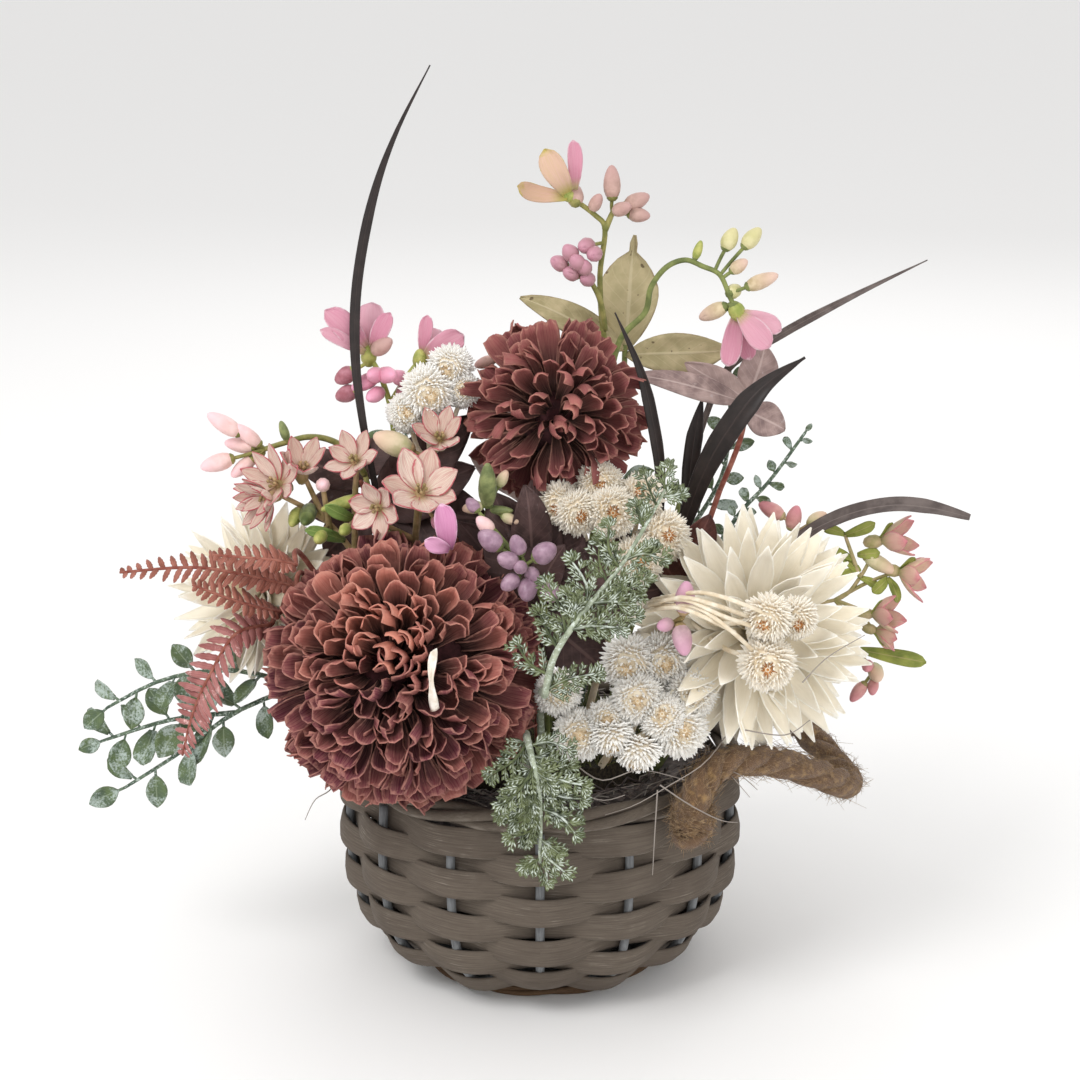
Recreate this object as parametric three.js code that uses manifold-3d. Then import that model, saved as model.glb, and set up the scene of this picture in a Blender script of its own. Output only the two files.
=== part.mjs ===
// A small arrangement of artificial and dried flowers in a split-willow basket
// with a jute rope handle. Millimetres, +Z up, the front faces -Y.
// The origin is the middle of the basket's underside.
import * as THREE from "three";
import { mergeVertices } from "three/addons/utils/BufferGeometryUtils.js";
import Module from "manifold-3d";

const wasm = await Module();
wasm.setup();
const { Manifold } = wasm;

// ---------------------------------------------------------------- driving dimensions
const GAP = 0.3; // air between pieces that touch
const GROWN = 0.4; // how much larger a plant is taken when another is cut clear of it
const NEARLY_MEETING = 1e-3;
const SMALLEST_EDGE = 0.1;
const EDGE_GROWTH = 3; // a sharp edge is grown this much more than a face
const LEAF_SUNK = 0.5; // how far past the middle of a twig a leaf's foot goes
const BLADE = 0.8; // thickness of petals and leaves
const STAKES = 14;
const STAKE_RADIUS = 1.75;
const STAKE_TOP = 81.5;
const STAKE_FOOT = [44, 4.9]; // radius and height, inside the board
const ROWS = 9;
const FIRST_ROW_ALONG_WALL = 11.3;
const ROW_PITCH = 8.85;
const STRIP_HEIGHT = 8.2;
const STRIP_THICKNESS = 1.4;
const STRIP_SWING = STAKE_RADIUS + STRIP_THICKNESS / 2 + 2 * GAP;
const STEPS_PER_STAKE = 2;
const BOARD_RADIUS = 47;
const BOARD_THICKNESS = 7;
const BORDER_RADIUS = 2;
const BORDER_TURNS = 10;
const RIM_RADIUS = 77.5;
const RIM_HEIGHT = 87;
const RIM_ROD = 4.6;
const RIM_TURNS = 14;
const ROPE_RADIUS = 6.4;
const FOAM_SHOULDER = 76; // height of the ledge that carries the nest of twigs
// The foam's outline, as radius and height: it fills the bowl and rises to a low dome.
const FOAM_OUTLINE = [[0, BOARD_THICKNESS + GAP], [38, BOARD_THICKNESS + GAP], [54, 22], [64, 40], [68, 60],
  [68, FOAM_SHOULDER], [50, FOAM_SHOULDER], [46, 94], [0, 98]];
const NEST_TWIGS = 6; // loose twigs that stand out of the nest
const NEST_SIDES = 12;
const NEST_INNER = 51;
const NEST_OUTER = 70;
const NEST_RIDGE = [60, 90]; // radius and height of the nest's top
const LOOSE_TWIG = 0.8;
const KNOT_RADIUS = 11.5;
const ROPE_STEPS = 28;
const TWIG = 0.9; // radius of a twig that carries leaves
const SPRAY_TWIG = 1; // and of one that carries buds and flowers
const STEM_END = 66; // how deep the stems reach down into the foam
const STRAW_BRACTS = 5;
const BUD_SIDES = 3;
const GOLDEN_ANGLE = Math.PI * (3 - Math.sqrt(5));

// The wall of the bowl from the board's edge to the rim, as radius and height.
const WALL = [[52, 5], [58, 9], [67.5, 17.5], [73, 26], [77, 39], [79, 58], [78, STAKE_TOP]];

// The arrangement is set out as it is seen from the front and a little above. Places
// are given as right, up and depth: millimetres on the picture plane through the
// point aimed at, and the real Y.
const EYE_DISTANCE = 900;
const EYE_TILT = THREE.MathUtils.degToRad(15.5);
const AIM_HEIGHT = 175.6;

// ---------------------------------------------------------------- small helpers
const vec = (x, y, z) => new THREE.Vector3(x, y, z);

function seen(right, up, depth) {
  const across = right / EYE_DISTANCE;
  const rise = up / EYE_DISTANCE;
  const s = Math.sin(EYE_TILT);
  const c = Math.cos(EYE_TILT);
  const lift = (rise * EYE_DISTANCE + depth * (rise * c - s)) / (c + rise * s);
  const distance = EYE_DISTANCE + depth * c - lift * s;
  return vec(across * distance, depth, AIM_HEIGHT + lift);
}

function seenPath(points) {
  return points.map(([right, up, depth]) => seen(right, up, depth));
}

function nearestOf(points, place) {
  return points.reduce((best, p) => (p.distanceTo(place) < best.distanceTo(place) ? p : best));
}

// Small steady differences between like pieces: a number from -1 to 1.
function vary(index, salt = 0) {
  const value = Math.sin(index * 12.9898 + salt * 78.233) * 43758.5453;
  return 2 * (value - Math.floor(value)) - 1;
}

function frameAlong(direction, hint = vec(0, 0, 1)) {
  const forward = direction.clone().normalize();
  let side = new THREE.Vector3().crossVectors(forward, hint);
  if (side.length() < 0.05) side = new THREE.Vector3().crossVectors(forward, vec(1, 0, 0));
  side.normalize();
  const up = new THREE.Vector3().crossVectors(side, forward).normalize();
  return { forward, side, up };
}

function signedVolume(positions, triangles) {
  let sum = 0;
  for (const [a, b, c] of triangles) {
    sum += positions[a].dot(new THREE.Vector3().crossVectors(positions[b], positions[c])) / 6;
  }
  return sum;
}

// A closed solid through like sections, or a closed ring of them.
function loft(sections, ring = false) {
  const count = sections[0].length;
  const positions = sections.flat();
  const triangles = [];
  const steps = ring ? sections.length : sections.length - 1;
  for (let i = 0; i < steps; i++) {
    const here = i * count;
    const next = ((i + 1) % sections.length) * count;
    for (let k = 0; k < count; k++) {
      const m = (k + 1) % count;
      triangles.push([here + k, here + m, next + m], [here + k, next + m, next + k]);
    }
  }
  if (!ring) {
    const last = (sections.length - 1) * count;
    for (let k = 1; k < count - 1; k++) {
      triangles.push([0, k + 1, k], [last, last + k, last + k + 1]);
    }
  }
  if (signedVolume(positions, triangles) < 0) triangles.forEach((t) => t.reverse());
  return asSolid(positions, triangles);
}

function asSolid(positions, triangles) {
  const geometry = new THREE.BufferGeometry();
  geometry.setAttribute("position", new THREE.BufferAttribute(
    new Float32Array(positions.flatMap((p) => [p.x, p.y, p.z])), 3));
  geometry.setIndex(triangles.flat());
  return solidOf(geometry);
}

function solidOf(geometry, together = 1e-4) {
  const bare = new THREE.BufferGeometry();
  bare.setAttribute("position", geometry.getAttribute("position"));
  if (geometry.index) bare.setIndex(geometry.index);
  const merged = mergeVertices(bare, together);
  return new Manifold(new wasm.Mesh({
    numProp: 3,
    vertProperties: new Float32Array(merged.getAttribute("position").array),
    triVerts: new Uint32Array(merged.index.array),
  }));
}

// A round stem of a few sides through the points, with a radius for each or one for all.
function tube(points, radius, sides = 5, ring = false) {
  const radii = Array.isArray(radius) ? radius : points.map(() => radius);
  let frame = null;
  const sections = points.map((point, i) => {
    const before = ring ? points[(i + points.length - 1) % points.length] : points[Math.max(0, i - 1)];
    const after = ring ? points[(i + 1) % points.length] : points[Math.min(points.length - 1, i + 1)];
    const direction = new THREE.Vector3().subVectors(after, before);
    frame = frameAlong(direction, frame ? frame.up : vec(0, 0.3, 1));
    return Array.from({ length: sides }, (_, k) => {
      const angle = (2 * Math.PI * k) / sides;
      return point.clone()
        .addScaledVector(frame.side, radii[i] * Math.cos(angle))
        .addScaledVector(frame.up, radii[i] * Math.sin(angle));
    });
  });
  return loft(sections, ring);
}

// A thin blade along a line of points with a keel along its back: three corners to a
// section, the two edges raised by `cup` and the keel behind them. Grown, it is a box
// round all three.
function blade(points, widths, facing, grow = 0, cup = 0.12, thickness = BLADE) {
  const sections = points.map((point, i) => {
    const direction = new THREE.Vector3().subVectors(
      points[Math.min(points.length - 1, i + 1)], points[Math.max(0, i - 1)]);
    const { forward, side, up } = frameAlong(direction, facing);
    const wide = widths[i] / 2 + grow;
    const place = (across, above) => point.clone()
      .addScaledVector(side, across).addScaledVector(up, above);
    const raised = cup * wide;
    if (!grow) return [place(-wide, raised), place(wide, raised), place(0, -thickness)];
    const ends = i === 0 ? -grow : i === points.length - 1 ? grow : 0;
    return [place(-wide, raised + grow), place(wide, raised + grow), place(wide, -thickness - grow),
      place(-wide, -thickness - grow)].map((corner) => corner.addScaledVector(forward, ends));
  });
  return loft(sections);
}

// A leaf or pointed petal of eight faces: its foot is sunk past the place it grows from,
// its middle is arched off the straight line by `arch`, its edges stand at `widest`.
function leaf(from, end, width, facing, grow = 0, arch = 0.1, widest = 0.5) {
  const length = from.distanceTo(end);
  const { forward, side, up } = frameAlong(new THREE.Vector3().subVectors(end, from), facing);
  const edge = width / 2 + EDGE_GROWTH * grow;
  const foot = from.clone().addScaledVector(forward, -LEAF_SUNK - EDGE_GROWTH * grow);
  const tip = end.clone().addScaledVector(forward, EDGE_GROWTH * grow);
  const middle = from.clone().lerp(end, widest).addScaledVector(up, arch * length);
  const place = (across, above) => middle.clone().addScaledVector(side, across).addScaledVector(up, above);
  const half = BLADE / 2 + grow;
  const points = [foot, place(edge, 0), tip, place(-edge, 0), place(0, half), place(0, -half)];
  const triangles = [];
  for (let i = 0; i < 4; i++) {
    const next = (i + 1) % 4;
    triangles.push([i, next, 4], [next, i, 5]);
  }
  if (signedVolume(points, triangles) < 0) triangles.forEach((t) => t.reverse());
  return asSolid(points, triangles);
}

// A core of few faces, drawn out by `stretch` along the direction.
function ball(centre, radius, grow = 0, direction = vec(0, 0, 1), stretch = 1, detail = 0) {
  return solidAt(new THREE.IcosahedronGeometry(radius + grow, detail), centre, direction, stretch);
}

function solidAt(shape, centre, direction, stretch) {
  shape.scale(1, 1, stretch);
  shape.applyQuaternion(new THREE.Quaternion().setFromUnitVectors(
    vec(0, 0, 1), direction.clone().normalize()));
  shape.translate(centre.x, centre.y, centre.z);
  return solidOf(shape);
}

// ---------------------------------------------------------------- the basket
function wallAt(along) {
  let rest = along;
  for (let i = 0; i < WALL.length - 1; i++) {
    const [r0, z0] = WALL[i];
    const [r1, z1] = WALL[i + 1];
    const length = Math.hypot(r1 - r0, z1 - z0);
    if (rest <= length || i === WALL.length - 2) {
      const t = rest / length;
      return { radius: r0 + t * (r1 - r0), height: z0 + t * (z1 - z0), out: (z1 - z0) / length,
        down: -(r1 - r0) / length };
    }
    rest -= length;
  }
  return null;
}

function around(radius, angle, height) {
  return vec(radius * Math.sin(angle), -radius * Math.cos(angle), height);
}

function weaveRow(row) {
  const along = FIRST_ROW_ALONG_WALL + row * ROW_PITCH;
  const low = wallAt(along - STRIP_HEIGHT / 2);
  const high = wallAt(along + STRIP_HEIGHT / 2);
  const middle = wallAt(along);
  const steps = STAKES * STEPS_PER_STAKE;
  const start = row % 2 ? 0 : Math.PI;
  const sections = Array.from({ length: steps }, (_, i) => {
    const angle = (2 * Math.PI * i) / steps;
    const swing = STRIP_SWING * Math.cos((angle * STAKES) / 2 + start);
    const corner = (edge, outward) => around(
      edge.radius + middle.out * (swing + outward), angle, edge.height + middle.down * (swing + outward));
    const half = STRIP_THICKNESS / 2;
    return [corner(low, half), corner(high, half), corner(high, -half), corner(low, -half)];
  });
  return loft(sections, true);
}

function basketBase() {
  const board = new THREE.CylinderGeometry(BOARD_RADIUS, BOARD_RADIUS, BOARD_THICKNESS, 18);
  board.rotateX(Math.PI / 2);
  board.translate(0, 0, BOARD_THICKNESS / 2);
  const pieces = [solidOf(board)];
  for (let i = 0; i < STAKES; i++) {
    const angle = (2 * Math.PI * i) / STAKES;
    const line = [STAKE_FOOT, ...WALL.slice(1)].map(([r, z]) => around(r, angle, z));
    pieces.push(tube(line, STAKE_RADIUS, 4));
  }
  return fuse(pieces);
}

function borderRing(radius, height, rod, turns, lobes, depth) {
  const steps = turns * 3;
  const points = lobes * 2;
  const sections = Array.from({ length: steps }, (_, i) => {
    const angle = (2 * Math.PI * i) / steps;
    return Array.from({ length: points }, (_, k) => {
      const turn = (2 * Math.PI * k) / points + (angle * turns) / lobes;
      const reach = rod * (k % 2 ? 1 - depth : 1);
      return around(radius + reach * Math.cos(turn), angle, height + reach * Math.sin(turn));
    });
  });
  return loft(sections, true);
}

function turned(outline) {
  const profile = outline.map(([r, z]) => new THREE.Vector2(r, z));
  return solidOf(new THREE.LatheGeometry(profile, NEST_SIDES).rotateX(Math.PI / 2));
}

// The nest is a ring of matted twigs on the foam's ledge, with a few loose ones on top.
function twigNest(grow = 0) {
  const inner = NEST_INNER - grow;
  const outer = NEST_OUTER + grow;
  const bottom = FOAM_SHOULDER + GAP - grow;
  const [ridge, top] = NEST_RIDGE;
  const mat = turned([[inner, bottom], [outer, bottom], [outer, top - 4 + grow], [ridge, top + grow],
    [inner, top - 3 + grow], [inner, bottom]]);
  const twigs = [];
  for (let i = 0; i < NEST_TWIGS; i++) {
    const angle = (2 * Math.PI * i) / NEST_TWIGS + 0.1 * vary(i);
    const from = around(ridge + 1 + 4 * vary(i, 1), angle, top - 3);
    const to = around(ridge + 4 + 6 * vary(i, 2), angle + (i % 2 ? 0.34 : -0.34), top + 3.5 + 3 * vary(i, 3));
    twigs.push(tube([from, to], LOOSE_TWIG + grow, 3));
  }
  return fuse([mat, ...twigs]);
}

// The rope handle: knotted on the front right of the wall, over the rim, out to the
// right and round the back to the second knot. A three-strand rope, so each section
// is a rounded triangle that turns along the way.
const ROPE_WAY = [
  [57.2, -73.5, 82], [58.3, -74.6, 92], [61, -72.5, 100], [68, -66, 105], [80, -57, 103.5], [93.4, -47, 98.6],
  [110, -36, 89.5], [121, -24, 81], [125.5, -9, 76.5], [123, 9, 76], [117, 28, 79], [106, 48, 84], [90, 66, 89],
  [70, 79.5, 93], [48, 88.5, 96], [21, 95.5, 98], [-8, 97, 100], [-33, 92, 102], [-50, 83, 103], [-57, 77, 99],
  [-58.3, 74.6, 92], [-57.2, 73.5, 82],
];

function ropeHandle(grow = 0) {
  const curve = new THREE.CatmullRomCurve3(ROPE_WAY.map(([x, y, z]) => vec(x, y, z)));
  const points = curve.getPoints(ROPE_STEPS);
  const strand = tube(points, ROPE_RADIUS + grow, 6);
  const knot = (a, b) => ball(a.clone().lerp(b, 0.6), KNOT_RADIUS + grow, 0, b.clone().sub(a));
  const ends = ROPE_WAY.map(([x, y, z]) => vec(x, y, z));
  return fuse([strand, knot(ends[0], ends[1]), knot(ends.at(-1), ends.at(-2))]);
}

// ---------------------------------------------------------------- fusing and cutting
// Small edges left where pieces meet are drawn together, well within the gaps.
function fuse(pieces) {
  return Manifold.union(pieces).simplify(SMALLEST_EDGE);
}

function geometryOf(solid) {
  const mesh = solid.getMesh();
  const positions = new Float32Array(mesh.numVert * 3);
  for (let i = 0; i < mesh.numVert; i++) {
    positions.set(mesh.vertProperties.subarray(i * mesh.numProp, i * mesh.numProp + 3), i * 3);
  }
  const geometry = new THREE.BufferGeometry();
  geometry.setAttribute("position", new THREE.BufferAttribute(positions, 3));
  geometry.setIndex(Array.from(mesh.triVerts));
  return geometry;
}

// The main body without loose scrap, its nearly meeting corners drawn together first, so
// nothing hangs on by a single corner.
function largestBody(solid) {
  const settled = solidOf(geometryOf(solid), NEARLY_MEETING);
  const bodies = settled.decompose();
  bodies.sort((a, b) => b.volume() - a.volume());
  return bodies[0];
}

// ---------------------------------------------------------------- blooms
// A dense head: petals stand in spiral order out of a small core, from the middle to
// behind the edge. `open` is how far back the last ones lie, in degrees.
function bloomHead(bloom, grow) {
  const { centre, facing, radius, core, petals, width, open, pointed } = bloom;
  const { forward, side, up } = frameAlong(facing);
  const pieces = [ball(centre, core, grow, forward, 0.92)];
  for (let i = 0; i < petals; i++) {
    const share = (i + 0.5) / petals;
    const lean = THREE.MathUtils.degToRad(6 + (open - 6) * Math.sqrt(share));
    const turn = i * GOLDEN_ANGLE;
    const out = side.clone().multiplyScalar(Math.cos(turn)).addScaledVector(up, Math.sin(turn));
    const ray = forward.clone().multiplyScalar(Math.cos(lean)).addScaledVector(out, Math.sin(lean));
    const reach = radius * (1 + 0.05 * vary(i));
    const back = out.clone().multiplyScalar(-Math.cos(lean)).addScaledVector(forward, Math.sin(lean));
    const foot = centre.clone().addScaledVector(ray, core * 0.7);
    const tip = centre.clone().addScaledVector(ray, reach);
    const size = width * (0.62 + 0.38 * share);
    pieces.push(pointed ? leaf(foot, tip, size, back, grow, 0.03, 0.6)
      : blade([foot, tip], [size * 0.4, size * 0.9], back, grow, 0.2));
  }
  return pieces;
}

// A flower head as one star: `outline` gives reach and lift round one petal, repeated,
// with a domed middle in front and a neck behind.
function starSolid(place, facing, petals, outline, dome, neck, grow) {
  const { forward, side, up } = frameAlong(facing);
  const count = petals * outline.length;
  const ring = Array.from({ length: count }, (_, i) => {
    const turn = (2 * Math.PI * i) / count + 0.2;
    const [reach, lift] = outline[i % outline.length];
    const far = reach * (1 + 0.05 * vary(i)) + EDGE_GROWTH * grow;
    return place.clone().addScaledVector(side, far * Math.cos(turn))
      .addScaledVector(up, far * Math.sin(turn)).addScaledVector(forward, lift);
  });
  const points = [...ring, place.clone().addScaledVector(forward, dome + grow),
    place.clone().addScaledVector(forward, -neck - grow)];
  const triangles = [];
  for (let i = 0; i < count; i++) {
    const next = (i + 1) % count;
    triangles.push([i, next, count], [next, i, count + 1]);
  }
  if (signedVolume(points, triangles) < 0) triangles.forEach((t) => t.reverse());
  return asSolid(points, triangles);
}

// A straw flower: pointed bracts round a domed button, drawn in to a neck behind.
function strawHead(place, facing, radius, grow) {
  const outline = [[radius, radius * 0.22], [radius * 0.68, 0]];
  return starSolid(place, facing, STRAW_BRACTS, outline, radius * 0.6, radius * 0.75, grow);
}

// A bunch of them: each stalk joins the nearest place of the stalks already there.
function strawBunch(bunch, grow) {
  const pieces = [];
  const forks = [seen(...bunch.gather)];
  bunch.heads.forEach(([right, up, depth, radius], i) => {
    const place = seen(right, up, depth);
    const facing = bunch.facing.clone().add(vec(0.3 * vary(i, 1), 0, 0.3 * vary(i, 2)));
    pieces.push(strawHead(place, facing, radius * 0.92, grow));
    const fork = nearestOf(forks, place);
    pieces.push(tube([place, fork], 1 + grow, 3));
    forks.push(place.clone().lerp(fork, 0.5));
  });
  return pieces;
}

// A small open flower: blunt petals, cut apart nearly to the middle, on a short neck.
function openFlower(place, facing, radius, petals, grow, lift = 0.35) {
  const high = radius * Math.sin(lift);
  const outline = [[radius * 0.3, 0], [radius * 0.95, high], [radius * 0.95, high]];
  return starSolid(place, facing, petals, outline, 1.2, Math.max(2.4, radius * 0.3), grow);
}

// A closed bud and its short stalk from a place on the stem.
function bud(from, place, radius, grow, stretch = 1.5) {
  const direction = new THREE.Vector3().subVectors(place, from).normalize();
  const end = place.clone().addScaledVector(direction, radius * stretch * 0.9);
  return tube([from, place, end], [0.7 + grow, 1.1 * radius + grow, radius * 0.3 + grow], BUD_SIDES);
}

// ---------------------------------------------------------------- fronds and sprigs
// A fern frond: one thin arched blade whose outline is cut nearly to the rib between
// the leaflets.
function fernFrond(frond, grow) {
  const curve = new THREE.CatmullRomCurve3(seenPath(frond.way));
  const stations = frond.leaflets * 2;
  const points = curve.getSpacedPoints(stations);
  const widths = points.map((_, i) => {
    const share = i / stations;
    const full = frond.width * Math.sin(Math.PI * (0.12 + 0.83 * share)) + 1;
    return i % 2 ? full : Math.max(1.6, full * 0.2);
  });
  return [blade(points, widths, frond.facing, grow, 0.1, 1.1)];
}

// A flat scaly sprig: a slim stem with short side sprays to either hand in turn.
function scaleSprig(sprig, grow) {
  const points = new THREE.CatmullRomCurve3(seenPath(sprig.way)).getSpacedPoints(sprig.pairs * 2);
  const pieces = [tube(points.filter((_, i) => i % 4 === 0), 1.5 + grow, 3)];
  for (let i = 1; i < points.length; i++) {
    const direction = new THREE.Vector3().subVectors(points[i], points[i - 1]).normalize();
    const { side } = frameAlong(direction, sprig.facing);
    const hand = i % 2 ? 1 : -1;
    const length = sprig.reach * (1 - 0.5 * (i / points.length)) * (1 + 0.2 * vary(i));
    const out = direction.clone().multiplyScalar(0.75).addScaledVector(side, hand)
      .addScaledVector(sprig.facing, 0.25 * vary(i, 4)).normalize();
    const tip = points[i].clone().addScaledVector(out, length);
    pieces.push(leaf(points[i], tip, length * 0.42, sprig.facing, grow, 0, 0.5));
  }
  return pieces;
}

// Leaves along a stem, each given by its foot on the stem and its tip.
function leafySprig(sprig, grow) {
  const pieces = (sprig.twigs || []).map((way) => tube(seenPath(way), TWIG + grow, 3));
  sprig.leaves.forEach(([foot, tip, width, arch = 0.1]) => {
    pieces.push(leaf(seen(...foot), seen(...tip), width, sprig.facing, grow, arch));
  });
  return pieces;
}

// Round leaves set in alternate order along twigs, for greenery given only by its twigs.
function roundLeaves(sprig, grow) {
  const pieces = [];
  sprig.twigs.forEach((way, twig) => {
    const points = new THREE.CatmullRomCurve3(seenPath(way)).getSpacedPoints(sprig.leaves);
    pieces.push(tube(points.filter((_, i) => i % 3 === 0 || i === points.length - 1), TWIG + grow, 3));
    for (let i = 1; i < points.length; i++) {
      const direction = new THREE.Vector3().subVectors(points[i], points[i - 1]).normalize();
      const { side } = frameAlong(direction, sprig.facing);
      const out = direction.multiplyScalar(i === points.length - 1 ? 1 : 0.5)
        .addScaledVector(side, i === points.length - 1 ? 0 : i % 2 ? 1 : -1)
        .addScaledVector(sprig.facing, 0.35 * vary(i, twig)).normalize();
      const size = sprig.size * (1 - 0.3 * (i / points.length)) * (1 + 0.15 * vary(i, twig + 5));
      const tip = points[i].clone().addScaledVector(out, size * 1.25);
      pieces.push(leaf(points[i], tip, size, sprig.facing, grow, 0.1));
    }
  });
  return pieces;
}

function longBlade(item, grow) {
  const points = new THREE.CatmullRomCurve3(seenPath(item.way)).getSpacedPoints(item.steps || 8);
  const widths = points.map((_, i) => {
    const share = i / (points.length - 1);
    return item.width * Math.max(0.16, Math.min(1, 0.55 + 1.2 * share) * Math.min(1, 2.6 * (1 - share)));
  });
  return [blade(points, widths, item.facing, grow, 0.22, 1)];
}

// A flowering spray: twigs, closed buds on short stalks, open flowers and leaves. A bud
// or flower hangs on the nearest place of the twigs.
function flowerSpray(spray, grow) {
  const ways = spray.twigs.map((way) => seenPath(way));
  const pieces = ways.map((way) => tube(way, SPRAY_TWIG + grow, 3));
  const places = ways.flatMap((way) => way.slice(1).flatMap((p, i) => [p, p.clone().lerp(way[i], 0.5)]));
  (spray.buds || []).forEach(([right, up, depth, radius, stretch]) => {
    const place = seen(right, up, depth);
    pieces.push(bud(nearestOf(places, place), place, radius, grow, stretch || 1.5));
  });
  (spray.flowers || []).forEach(([right, up, depth, radius, petals, lift, facing]) => {
    const place = seen(right, up, depth);
    const from = nearestOf(places, place);
    pieces.push(openFlower(place, facing || spray.facing, radius, petals, grow, lift));
    if (from.distanceTo(place) > 1) pieces.push(tube([from, place], TWIG + grow, 3));
  });
  (spray.leaves || []).forEach(([foot, tip, width, arch = 0.1]) => {
    pieces.push(leaf(seen(...foot), seen(...tip), width, spray.facing, grow, arch));
  });
  return pieces;
}

// ---------------------------------------------------------------- the arrangement
const FRONT = vec(0, -0.96, 0.27);
const LEFT_FRONT = vec(-0.55, -0.75, 0.35);
const RIGHT_FRONT = vec(0.55, -0.75, 0.35);
const ABOVE = vec(0, -0.6, 0.8);
const REAR = vec(0, 0.8, 0.6);

const DUSKY_RED = 0x7f4947;
const IVORY = 0xe9dfc8;
const STRAW = 0xe6d3b3;
const STRAW_WHITE = 0xeee8dc;
const FROSTED_GREEN = 0x8d9c84;
const FERN_ROSE = 0x9c5c56;
const LEAF_GREEN = 0x66785a;
const DUSKY_PURPLE = 0x7d6060;
const OLIVE_TAN = 0xb3a57b;
const DARK_BLADE = 0x352a28;
const PINK = 0xe79cbb;
const LILAC = 0xb595ad;
const PEACH = 0xe0bda8;
const WILLOW = 0x70665b;
const STAKE_GREY = 0x7d8188;
const DARK_TWIG = 0x2e2421;
const JUTE = 0x84643f;
const FOAM = 0x4a4234;
const REDDISH = 0x5a3531;
const GREY_BLADE = 0x6f6763;
const ARCHED_BLADE = 0x5a4e4c;
const BUD_GREEN = 0x8d9160;
const BROWN_WILLOW = 0x5f4a36;

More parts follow.
